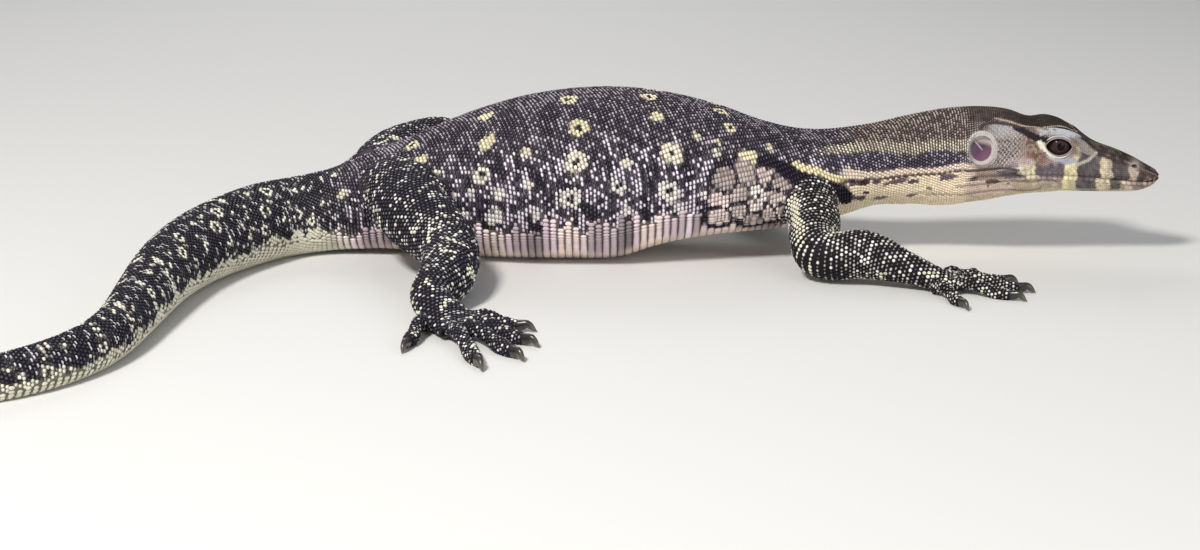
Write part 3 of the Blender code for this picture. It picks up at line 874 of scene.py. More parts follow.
def smooth_joins(mesh):
    """Rounds the inner corners where the pieces of skin meet."""
    bm = bmesh.new()
    bm.from_mesh(mesh)
    bmesh.ops.triangulate(bm, faces=bm.faces)
    seam = set()
    for edge in bm.edges:
        if len(edge.link_faces) == 2 and edge.calc_face_angle_signed(0) < -math.radians(JOIN_FOLD):
            seam.update(vert.co.copy().freeze() for vert in edge.verts)
    bm.to_mesh(mesh)
    bm.free()
    co = mesh_points(mesh)
    seam = np.array([tuple(point) for point in seam]) / MM
    roots = np.array([LEGS[name][k] for name in LEGS for k in (0, 1)])
    root_gap = np.linalg.norm(seam[:, None] - roots, axis=2).min(axis=1)
    wide = (root_gap < ROOT_REACH) & (seam[:, 0] < 130)
    weight = np.zeros(len(co))
    for seeds, radius in ((seam[wide], ROOT_ROUNDING), (seam[~wide], FINE_ROUNDING)):
        near = search_tree(seeds)
        far = np.array([near.find(point)[2] for point in co])
        weight = np.maximum(weight, bump(far, radius))
    weight[weight < 0.02] = 0
    ends = np.empty(len(mesh.edges) * 2, int)
    mesh.edges.foreach_get("vertices", ends)
    a, b = ends.reshape(-1, 2).T
    count = np.bincount(a, minlength=len(co)) + np.bincount(b, minlength=len(co))
    for _ in range(45):
        total = [np.bincount(a, co[b, k], len(co)) + np.bincount(b, co[a, k], len(co)) for k in range(3)]
        total = np.stack(total, 1)
        co += 0.6 * weight[:, None] * (total / np.maximum(count, 1)[:, None] - co)
    co[:, 2] = np.maximum(co[:, 2], 0)
    mesh.vertices.foreach_set("co", (co * MM).ravel())
    mesh.update()


smooth_joins(skin.data)

cuts = []
turns = round_angles(48)
ear_oval = as_columns(np.cos(turns), np.sin(turns)) * EAR_RADII
for side, word in SIDES:
    cuts.append(ball("socket", eye_frame(side), (EYE_RADIUS + SOCKET_GAP,) * 3))
    slit = lid_frame(side) @ Matrix.Translation((0, side * LID_RADIUS, 0))
    cuts.append(prism("slit", slit, almond_outline(*LID_OPENING, 24), 2 * LID_RADIUS))
    cup = ear_frame(side) @ Matrix.Translation((0, side * EAR_DEPTH, 0))
    cuts.append(prism("cup", cup, ear_oval, 4 * EAR_DEPTH))
    size = (NOSTRIL_RADIUS * 1.3, NOSTRIL_RADIUS, NOSTRIL_RADIUS * 0.75)
    cuts.append(ball("pit", nostril_frame(side), size, 20, 14))
boolean(skin, cuts, "DIFFERENCE")
skin.data.shade_smooth()

flesh = ["head", "neck", "torso"] + [f"tail_{k}" for k in range(1, 9)]
for name in LEGS:
    kind, word = name.split("_")
    flesh += [f"{part}_{word}" for part in LEG_NODES[kind]]


# Markings

# Ringed and solid spots of the body on the side that faces the camera: path position,
# share down the side, outer radius, radius of the dark centre, or 0 where it has none
BODY_SPOTS = (
    (19.0, 0.065, 3.6, 0.9),
    (22.0, 0.20, 3.0, 0.0),
    (27.0, 0.37, 4.4, 0.9),
    (26.0, 0.52, 4.4, 1.2),
    (30.0, 0.585, 1.9, 0.0),
    (10.0, 0.40, 2.4, 0.0),
    (7.0, 0.485, 3.0, 0.9),
    (10.0, 0.565, 2.1, 0.0),
    (-12.0, 0.095, 3.8, 1.1),
    (-8.0, 0.255, 4.2, 1.2),
    (-9.0, 0.39, 4.3, 1.2),
    (-11.0, 0.515, 4.4, 1.2),
    (-44.0, 0.10, 3.1, 0.0),
    (-43.0, 0.265, 3.5, 0.0),
    (-45.0, 0.405, 3.7, 1.0),
    (-38.0, 0.49, 2.7, 0.0),
    (-40.0, 0.58, 3.4, 0.0),
    (-58.0, 0.50, 3.3, 0.8),
    (-70.0, 0.295, 4.0, 0.0),
    (-73.0, 0.13, 2.9, 0.8),
    (-62.0, 0.37, 1.9, 0.0),
    (-28.0, 0.34, 2.0, 0.0),
    (-27.0, 0.46, 2.1, 0.0),
    (-24.0, 0.575, 2.3, 0.0),
    (-52.0, 0.56, 2.0, 0.0),
    (-49.0, 0.47, 1.8, 0.0),
    (47.0, 0.06, 3.2, 0.8),
    (50.0, 0.185, 2.9, 0.7),
    (37.0, 0.28, 1.7, 0.0),
    (45.0, 0.29, 1.6, 0.0),
    (44.0, 0.35, 1.8, 0.0),
    (39.0, 0.535, 1.8, 0.0),
    (60.2, 0.525, 3.4, 0.9),
    (58.0, 0.335, 3.0, 0.0),
    (65.0, 0.25, 1.8, 0.0),
)
# Cross rows of spots on the tail, which grow closer and smaller to its tip
TAIL_ROWS = (-225.0, -246.0, -267.0, -288.0, -308.0) + tuple(-328.0 - 19 * k for k in range(13))
# Spots on the front of the tail: path position, share, outer and inner radius
TAIL_SPOTS = (
    (-104.5, 0.12, 1.8, 0.0),
    (-100.2, 0.344, 2.2, 0.0),
    (-117.8, 0.476, 2.6, 1.0),
    (-120.0, 0.19, 1.3, 0.0),
    (-126.6, 0.41, 2.2, 0.9),
    (-131.5, 0.30, 1.2, 0.0),
    (-138.8, 0.14, 2.9, 1.1),
    (-146.4, 0.304, 2.9, 1.1),
    (-150.5, 0.45, 2.3, 0.8),
    (-155.0, 0.20, 1.3, 0.0),
    (-160.5, 0.05, 2.0, 0.0),
    (-161.9, 0.36, 1.5, 0.0),
    (-169.5, 0.15, 2.7, 1.0),
    (-177.3, 0.264, 2.9, 1.1),
    (-173.5, 0.43, 2.2, 0.8),
    (-186.0, 0.12, 1.6, 0.0),
    (-190.0, 0.36, 2.0, 0.7),
    (-200.5, 0.15, 2.6, 1.0),
    (-207.5, 0.27, 2.7, 1.1),
    (-203.0, 0.43, 2.2, 0.8),
    (-214.7, 0.17, 1.8, 0.6),
)
TAIL_SHARES = (0.14, 0.31, 0.46)
TAIL_SPOT = (0.82, 0.80, 0.66)
TAIL_SPOTS_FROM = -104
ROW_PLACES = np.array((20.0, -11.0, -41.0, -72.0, 48.0) + TAIL_ROWS)

# Path position against the distance between rows of scales
PITCH = (
    (-578, 0.9),
    (-400, 1.15),
    (-250, 1.3),
    (-110, 1.3),
    (-70, 1.42),
    (40, 1.45),
    (64, 1.25),
    (100, 1.15),
    (135, 1.05),
    (150, 0.8),
    (217, 0.78),
)
# Path position against the share down the side where belly plates begin
BELLY_EDGE = (
    (-578, 0.62),
    (-120, 0.62),
    (-90, 0.66),
    (-60, 0.63),
    (-30, 0.63),
    (10, 0.625),
    (30, 0.64),
    (50, 0.70),
    (84, 0.76),
    (96, 1.1),
)


def scale_rows():
    """Path positions of the rows of scales, and the step at each."""
    places, steps = [], []
    s = TAIL_TIP + 1
    while s < SNOUT - 0.4:
        step = float(read_table(PITCH, s))
        places.append(s)
        steps.append(step)
        s += step
    return np.array(places), np.array(steps)


ROWS = scale_rows()
COLUMN_SHIFT = rng.uniform(-0.05, 0.035, len(ROWS[0][::2]))


def belly_from(s):
    """Where belly plates begin, which differs from one column of them to the next."""
    columns = ROWS[0][::2]
    nearest = np.searchsorted((columns[1:] + columns[:-1]) / 2, s)
    return read_table(BELLY_EDGE, s) + COLUMN_SHIFT[nearest]


# Path position against how far the rows of scales lean forward from the ridge of the back
# to the middle of the side
SKEW = (
    (-578, -0.5),
    (-150, -2.0),
    (-105, -6.0),
    (-40, -14.0),
    (55, -15.0),
    (100, -7.0),
    (135, -2.0),
    (150, 0.0),
    (217, 0.0)
)


def column_shift(s, share):
    """How far back a row of scales lies where it is at this share of the side."""
    return read_table(SKEW, s) * np.clip(1 - share / 0.5, 0, 1) ** 1.3


def on_cheek(s, share):
    """1 where the fine slanting scales behind the eye are."""
    ends = ramp(s, 147, 150) * (1 - ramp(s, 163, 167))
    return ends * ramp(share, 0.20, 0.25) * (1 - ramp(share, 0.47, 0.51))


def lean_of(s, share):
    """How far a scale's own axis leans: forward as it goes down on the back and neck, and
    back as it goes down on the cheek."""
    rows = (column_shift(s, share + 0.01) - column_shift(s, share - 0.01)) / 0.02
    return rows / np.maximum(trunk.arc_slope(s, share), 5) - 0.65 * on_cheek(s, share)


def spots():
    """Every ringed or solid spot: s, share, side, outer and inner radius."""
    made = []
    for s, share, outer, inner in BODY_SPOTS + TAIL_SPOTS:
        made.append((s, share, -1, outer, inner))
        shift = rng.uniform(-2.5, 2.5)
        size = rng.uniform(0.85, 1.1)
        made.append((s + shift, share + rng.uniform(-0.02, 0.02), 1, outer * size, inner * size))
    for s in TAIL_ROWS:
        half = float(trunk.arc_at(s, 1.0))
        size = float(np.interp(s, (-400, -230, -175, -150), (1.5, 2.1, 2.6, 3.0))) * min(1, half / 14)
        for share in TAIL_SHARES:
            for side in (-1, 1):
                outer = size * rng.uniform(0.85, 1.15)
                where = s + rng.uniform(-1.5, 1.5) - 12 * (share - 0.14) * (half / 45)
                inner = outer * rng.choice((0.0, 0.36, 0.4, 0.42))
                made.append((where, share + rng.uniform(-0.02, 0.02), side, outer, inner))
    for s in np.arange(-560, -104, 7.5):
        half = float(trunk.arc_at(s, 1.0))
        for side in (-1, 1):
            for share in rng.uniform(0.08, 0.56, max(1, round(half / 10))):
                size = rng.uniform(0.8, 1.6) * min(1, half / 25 + 0.3)
                where = s + rng.uniform(-3.5, 3.5)
                gaps = [
                    np.hypot(where - at[0], (share - at[1]) * half) - at[3] for at in made if at[2] == side
                ]
                if min(gaps) > size + 1.2:
                    made.append((where, share, side, size, 0.0))
    return np.array(made)


SPOTS = spots()


class Paint:
    """Colours of places on the skin: the ground between and round the scales' middles,
    the middles, and how far they spread, as a share of a scale's radius."""

    def __init__(self, count):
        self.ground = np.zeros((count, 3))
        self.middle = np.zeros((count, 3))
        self.spread = np.zeros(count)

    def lay(self, amount, ground=None, middle=None, spread=None):
        amount = np.clip(amount, 0, 1)
        if ground is not None:
            self.ground = blend(self.ground, ground, amount)
        if middle is not None:
            self.middle = blend(self.middle, middle, amount)
        if spread is not None:
            self.spread = self.spread + (spread - self.spread) * amount

    def whole(self, amount, colour, seam=0.35, spread=1.6):
        """Scales of one pale colour, with darker seams between them."""
        colour = np.asarray(colour)
        self.lay(amount, colour * seam, colour, spread)

    def part(self, some):
        made = Paint(0)
        made.ground, made.middle, made.spread = self.ground[some], self.middle[some], self.spread[some]
        return made

    def put(self, some, part):
        self.ground[some], self.middle[some], self.spread[some] = part.ground, part.middle, part.spread


def tint(colour, amount):
    """A colour times an amount at each place."""
    return np.asarray(colour) * amount[:, None]


def trunk_paint(s, share, side, chance):
    """The trunk's colours. chance is a random number from 0 to 1 for each scale."""
    paint = Paint(len(s))
    arc = trunk.arc_at(s, share)
    bold = (chance * 9.37) % 1

    # Dark body with a pale mark on each scale, dim lines on the back and bright dots low.
    # The marks on the back are partly the scales' own pale tips and partly a painted highlight of light on
    # the scales.
    low = ramp(share, 0.30, 0.44)
    pale = blend(np.array(BACK_MARK_AND_GLINT), FLANK_MARK, low)
    column = s - column_shift(s, share)
    streak = noise(column / 1.3, arc / 7 + side * 7, 2) - 0.5
    patchy = noise(s / 4.5, arc / 4.5 + side * 7, 4) - 0.5
    strong = bold + 0.7 * streak + 0.35 * patchy > 0.49 + 0.15 * ramp(share, 0.1, 0.24)
    bright = np.where(strong, 0.85 + 0.1 * low, 0.40 - 0.18 * low) + 0.3 * (chance - 0.5)
    spread = np.where(strong, 0.68 + 0.13 * low, 0.56) + (0.06 + 0.14 * low) * (chance - 0.5)
    paint.lay(1, PURPLE_BLACK, tint(pale, bright), spread)
    grouped = noise(s / 2.2, arc / 3.0 + side * 7, 3) + 0.06 * ramp(share, 0.45, 0.55)
    group = ramp(share, 0.24, 0.34) * ramp(grouped, 0.79, 0.81)
    paint.lay(group, None, LILAC_WHITE, 1.05)

    tail = 1 - ramp(s, -112, -92)
    run = noise(s / 1.6, arc / 4 + side * 7, 12) - 0.5
    strong = bold + 0.4 * run > 0.8
    sliver = tint((0.84, 0.81, 0.80), np.where(strong, 0.9 + 0.3 * (chance - 0.5), 0.05 + 0.16 * chance))
    paint.lay(tail, TAIL_BLACK, sliver, np.where(strong, 0.8, 0.5))

    # Belly plates, cream where the cross rows of spots reach them. Their lilac and cream are
    # painted brighter than the plates' own colour, as painted light on this downward-facing side.
    nearest = np.abs(s[:, None] - ROW_PLACES).min(axis=1)
    edge = belly_from(s) - 0.008
    belly = ramp(share, edge, edge + 0.004) * ramp(s, -130, -100) * (1 - ramp(s, 72, 90))
    lilac = tint((0.88, 0.71, 0.77), 0.32 + 1.0 * noise(s / 2.9, side * 3, 8))
    paint.whole(belly, lilac, 0.05, 1.35)
    bars = belly * (1 - ramp(nearest, 4.2, 5.4))
    paint.whole(bars, tint((1.0, 0.80, 0.75), 0.95 + 0.2 * chance), 0.04, 1.35)
    under = belly * ramp(share, 0.74, 0.84)
    gaps = ramp(nearest, 9, 13) * (1 - ramp(share, 0.86, 0.96))
    paint.whole(under * (1 - 0.75 * gaps), (0.74, 0.62, 0.50), 0.3)
    fringe = 0.565 + 0.09 * (noise(s / 3.0, side * 3, 9) - 0.5) - 0.05 * (1 - ramp(nearest, 3, 5))
    low_tail = tail * ramp(share, fringe, fringe + 0.006)
    paint.whole(low_tail, tint(CREAM, 0.85 + 0.25 * chance), 0.12, 1.1)
    paint.whole(tail * ramp(share, 0.74, 0.86) * 0.85, CREAM, 0.4)

    # Shoulder, a net of pale patches
    far = [np.hypot(s - at, (share - down) * 62) for at, down in SHOULDER_CELLS]
    kind = 0.37 * np.argmin(far, axis=0) % 1
    far = np.sort(np.array(far) + 0.5 * (chance - 0.5), axis=0)
    cell = (1 - ramp(far[0], 4.5, 5.1)) * ramp(far[1] - far[0], 0.7, 1.3)
    paint.lay(1 - ramp(far[0], 6.0, 8.0), PURPLE_BLACK, tint(FLANK_MARK, 0.12 + 0.3 * (bold > 0.7)), 0.6)
    grey = tint((0.58, 0.48, 0.45), (0.5 + 0.4 * chance + 0.5 * kind) * (1 + 0.4 * ramp(share, 0.5, 0.62)))
    paint.whole(cell, grey, 0.35, 1.4)

    # Neck: tan beads on brown, yellow rows, a dark band, a pinkish strip and a pale throat
    neck = ramp(s, 80, 92)
    brown = ramp(s, 92, 102)
    rows_at, band_top, band_low, throat_at = [read_table(line, s) for line in NECK_LINES]
    beads = tint((0.66, 0.53, 0.48), 0.3 + 0.7 * bold)
    paint.lay(brown, NECK_BROWN, beads, 0.64 + 0.22 * (bold > 0.45))
    stripe = neck * ramp(share, rows_at - 0.055, rows_at - 0.02)
    stripe = stripe * (1 - ramp(share, band_top, band_top + 0.01))
    paint.lay(stripe, (0.014, 0.011, 0.009), tint((1.0, 0.87, 0.70), 0.5 + 0.65 * bold), 0.86)
    dash = tint((0.56, 0.50, 0.60), np.where(bold > 0.5, 1.0, 0.25 + 0.4 * bold))
    band = neck * ramp(share, band_top, band_top + 0.008)
    paint.lay(band, (0.010, 0.007, 0.015), dash, np.where(bold > 0.8, 0.84, 0.62))
    strip = ramp(s, 90, 97) * ramp(share, band_low - 0.004, band_low + 0.004)
    paint.whole(strip, tint((0.86, 0.70, 0.58), 0.9 + 0.2 * chance), 0.45)
    # The throat's pale yellow, painted brighter than its own colour as painted light on its downward side
    throat = ramp(s, 88, 94) * ramp(share, throat_at, throat_at + 0.03)
    paint.whole(throat, tint(LIT_THROAT_YELLOW, 0.9 + 0.2 * chance), 0.7)
    ragged = 0.5 * (noise(s / 1.2, arc / 1.2 + side * 9, 22) - 0.5)
    for at, down, length, height, colour in THROAT_BLOTCHES:
        here = float(trunk.arc_at(at, down))
        away = np.hypot((s - at) / length, (arc - here) / height) + ragged
        shown = (1 - ramp(away, 0.85, 1.1)) * np.where(side < 0, 1, chance > 0.3) * ramp(s, 80, 90)
        paint.whole(shown, colour, 0.5)

    for s0, share0, side0, outer, inner in SPOTS:
        near = (np.abs(s - s0) < outer + 2) & (side == side0) & (np.abs(share - share0) < 0.3)
        if near.any():
            spot = paint.part(near)
            spot_paint(spot, s[near], arc[near], chance[near], s0, share0, outer, inner)
            paint.put(near, spot)

    for points, width, ground, middle, spread in BODY_STROKES:
        away = line_distance(s, share, points)
        paint.lay(1 - ramp(away, width * 0.85, width * 1.1), ground, middle, spread)
    on_head = s > 136
    if on_head.any():
        old = paint.part(on_head)
        new = head_paint(s[on_head], share[on_head], side[on_head], arc[on_head], chance[on_head])
        old.lay(ramp(s[on_head], 141, 146), new.ground, new.middle, new.spread)
        paint.put(on_head, old)
    # Painted shade in the groove along the line of the mouth
    lips = 1 - ramp(SNOUT - s, 56, 59)
    gape = np.abs(arc - trunk.arc_at(s, MOUTH_AT))
    paint.lay(0.9 * lips * (1 - ramp(gape, 0.12, 0.3)), (0.03, 0.02, 0.018), (0.03, 0.02, 0.018))
    for k, (points, _, _) in enumerate(SHADE_LINES):
        away = line_distance(s, share, points)
        amount = 0.5 if k else 0.9
        paint.lay(amount * (1 - ramp(away, 0.3, 0.75)), (0.035, 0.02, 0.016), (0.035, 0.02, 0.016))
    return paint


# Lines along the neck, each as path position and share: the yellow rows' middle, the dark
# band's upper and lower edge, and the fold over the throat
NECK_LINES = (
    ((80, 0.24), (99.4, 0.25), (107.8, 0.29), (116, 0.345), (121.8, 0.372), (128.8, 0.378), (141, 0.385)),
    (
        (80, 0.30),
        (88, 0.266),
        (96.6, 0.296),
        (105, 0.322),
        (113.4, 0.375),
        (121.8, 0.428),
        (128.8, 0.405),
        (140, 0.425)
    ),
    (
        (84, 0.35),
        (90.5, 0.42),
        (96, 0.405),
        (100, 0.45),
        (107.8, 0.50),
        (116.2, 0.50),
        (128.8, 0.518),
        (140, 0.498)
    ),
    ((90, 0.49), (96, 0.50), (104, 0.53), (116.2, 0.553), (133, 0.55), (138.6, 0.54), (147.8, 0.555)),
)
BLOTCH_GREY = (0.14, 0.10, 0.13)
# Dark patches on the throat: path position, share, half length, half height and colour
THROAT_BLOTCHES = (
    (98.0, 0.525, 2.6, 1.1, BLOTCH_GREY),
    (102.2, 0.548, 2.4, 1.3, (0.06, 0.04, 0.05)),
    (106.8, 0.565, 1.8, 0.9, BLOTCH_GREY),
    (100.8, 0.674, 2.3, 1.3, BLOTCH_GREY),
    (103.2, 0.64, 1.3, 0.8, (0.06, 0.04, 0.05)),
    (109.2, 0.749, 3.0, 1.2, (0.24, 0.22, 0.25)),
    (114.8, 0.592, 4.6, 1.3, (0.22, 0.15, 0.17)),
    (121.8, 0.605, 2.2, 1.0, BLOTCH_GREY),
    (135.8, 0.578, 3.7, 1.5, (0.20, 0.14, 0.18)),
    (121.8, 0.736, 2.2, 1.0, (0.24, 0.20, 0.22)),
    (94.5, 0.60, 1.6, 1.4, BLOTCH_GREY),
    (128.5, 0.66, 1.6, 0.6, (0.26, 0.19, 0.18)),
)


def spot_paint(paint, s, arc, chance, s0, share0, outer, inner):
    """A pale spot with a dark rim round it, and a dark centre where it has one."""
    along, down = s - s0, arc - float(trunk.arc_at(s0, share0))
    angle = np.arctan2(down, along)
    away = np.hypot(along, down) + 0.5 * (chance - 0.5) + 0.25 * np.sin(3 * angle + s0) + 0.25
    on_tail = s0 < TAIL_SPOTS_FROM
    colour = TAIL_SPOT
    if not on_tail:
        colour = blend(np.array(UPPER_SPOT), LOWER_SPOT, smoothstep((share0 - 0.28) / 0.2))
    if outer > 2.4 or on_tail:
        rim = 1 - ramp(away, outer + 0.4, outer + 1.2)
        amount = 0.95 if s0 > 55 or on_tail else 0.6
        paint.lay(amount * rim, PURPLE_BLACK, tint(FLANK_MARK, 0.12 + 0.1 * chance), 0.5)
    paint.whole(1 - ramp(away, outer - 0.25, outer + 0.25), tint(colour, 0.85 + 0.3 * chance), 0.3)
    if inner:
        paint.lay(
            1 - ramp(away, inner * 1.3, inner * 1.3 + 0.3), BLACK, tint(LILAC_WHITE, 0.1 * chance), 0.5
        )


# Middles of the pale patches that make a net on the shoulder: path position and share
SHOULDER_CELLS = (
    (47.6, 0.489),
    (56.0, 0.423),
    (63.0, 0.41),
    (68.6, 0.463),
    (64.4, 0.642),
    (70.0, 0.62),
    (53.2, 0.616),
    (45.8, 0.65),
    (59.6, 0.60),
    (52.5, 0.55),
    (67.5, 0.545),
    (59.0, 0.68),
    (74.5, 0.57),
    (46.0, 0.57),
)

# Bold marks of the shoulder: points, half width, ground, middles and their spread
BODY_STROKES = (
    (
        ((61.6, 0.357), (67.2, 0.357), (71.4, 0.396), (77, 0.436)),
        2.2,
        (0.012, 0.009, 0.016),
        (0.10, 0.08, 0.12),
        0.4
    ),
    (
        ((68.6, 0.37), (77, 0.436), (92.4, 0.542), (95, 0.62)),
        3.3,
        (0.010, 0.008, 0.013),
        (0.09, 0.07, 0.11),
        0.35
    ),
    (((75.6, 0.344), (84, 0.396), (93.8, 0.489)), 1.7, (0.30, 0.25, 0.16), (0.86, 0.75, 0.48), 1.3),
    (((78, 0.50), (82, 0.58), (86, 0.70)), 1.7, (0.25, 0.22, 0.16), (0.80, 0.74, 0.56), 1.3),
    (((53.6, 0.335), (57.8, 0.325)), 1.7, (0.22, 0.19, 0.12), (0.84, 0.76, 0.52), 1.3),
)

# Bars down the side of the snout and lips: front and back edge behind the snout on the
# upper lip, the same on the lower lip, and colour
BARS = (
    ((-1.0, 8.0), (-1.0, 10.3), (0.36, 0.27, 0.24)),
    ((8.0, 11.8), (10.3, 15.0), (0.56, 0.45, 0.35)),
    ((11.8, 18.4), (15.0, 18.9), (0.12, 0.10, 0.095)),
    ((18.4, 23.0), (18.9, 24.4), (0.66, 0.56, 0.41)),
    ((23.0, 32.0), (24.4, 32.2), (0.13, 0.11, 0.115)),
    ((32.0, 36.8), (32.2, 37.5), (0.82, 0.73, 0.45)),
    ((36.8, 48.0), (37.5, 47.0), (0.17, 0.14, 0.16)),
    ((48.0, 54.5), (47.0, 52.0), (0.72, 0.63, 0.44)),
    ((54.5, 62.4), (52.0, 60.0), (0.17, 0.14, 0.16)),
)

# Lines on the head: points behind the snout and their heights, half width, ground and
# middles of the scales
HEAD_STROKES = (
    (
        ((47, 51.5), (49.4, 52.1), (55.4, 53.2), (60.2, 54.5), (63.8, 55.1)),
        0.5,
        (0.16, 0.12, 0.10),
        (0.52, 0.41, 0.34)
    ),
    (
        ((43.8, 47.2), (45.2, 47.6), (49.4, 49.1), (52.4, 50.5), (56, 52.2)),
        1.5,
        (0.012, 0.009, 0.012),
        (0.03, 0.024, 0.03)
    ),
    (
        ((55, 52.2), (59, 53.2), (63.8, 53.8), (68.6, 53.0), (70.4, 50.2)),
        0.75,
        (0.014, 0.011, 0.014),
        (0.07, 0.055, 0.065)
    ),
    (
        ((46.4, 50.4), (42.8, 51.0), (39.2, 50.9), (35.5, 49.9), (33, 48.8)),
        0.95,
        (0.30, 0.31, 0.34),
        (0.58, 0.59, 0.62)
    ),
    (((33, 48.2), (30.5, 46.6), (28.5, 45.2)), 0.9, (0.14, 0.12, 0.11), (0.38, 0.35, 0.31)),
    (((31, 44.5), (28.5, 43.4), (26.2, 42.6)), 1.2, (0.12, 0.10, 0.09), (0.36, 0.32, 0.28)),
    (
        ((45.8, 52.2), (42.8, 52.8), (38.6, 52.6), (34.9, 51.0), (31.3, 48.8)),
        0.35,
        (0.05, 0.04, 0.035),
        (0.52, 0.46, 0.38)
    ),
    (((47, 46.8), (45.2, 44.5), (42.8, 42.2), (40.5, 40.3)), 0.95, (0.62, 0.58, 0.46), (0.88, 0.84, 0.68)),
    (((40.5, 40.3), (36.7, 39.1), (33.1, 39.7)), 0.8, (0.26, 0.26, 0.32), (0.44, 0.44, 0.52)),
    (((24.7, 42.4), (27.7, 39.5), (31.9, 38.2), (32.5, 37.5)), 0.4, (0.3, 0.27, 0.23), (0.52, 0.47, 0.40)),
    (((62, 36.4), (57, 36.9), (53, 37.1)), 0.45, (0.5, 0.44, 0.42), (0.80, 0.73, 0.67)),
)
# Distance between the slanting pale rows on the cheek
CHEEK_ROW = 1.05
# Dark patches on the head: place behind the snout, height, radii along and up
HEAD_PATCHES = (
    (6.7, 33.0, 1.8, 2.0),
    (4.2, 36.0, 1.8, 1.0),
    (22.5, 42.4, 2.6, 1.2),
    (14.5, 39.4, 1.6, 1.1),
    (17.5, 40.8, 1.4, 0.7),
    (28.8, 46.6, 2.2, 0.8),
    (81.5, 31.9, 3.4, 1.7),
    (64.0, 31.6, 3.2, 0.9),
    (71.0, 32.8, 0.5, 0.5),
    (76.8, 29.3, 0.5, 0.5),
    (65.8, 29.6, 0.5, 0.5),
    (58.0, 31.0, 0.45, 0.45),
)


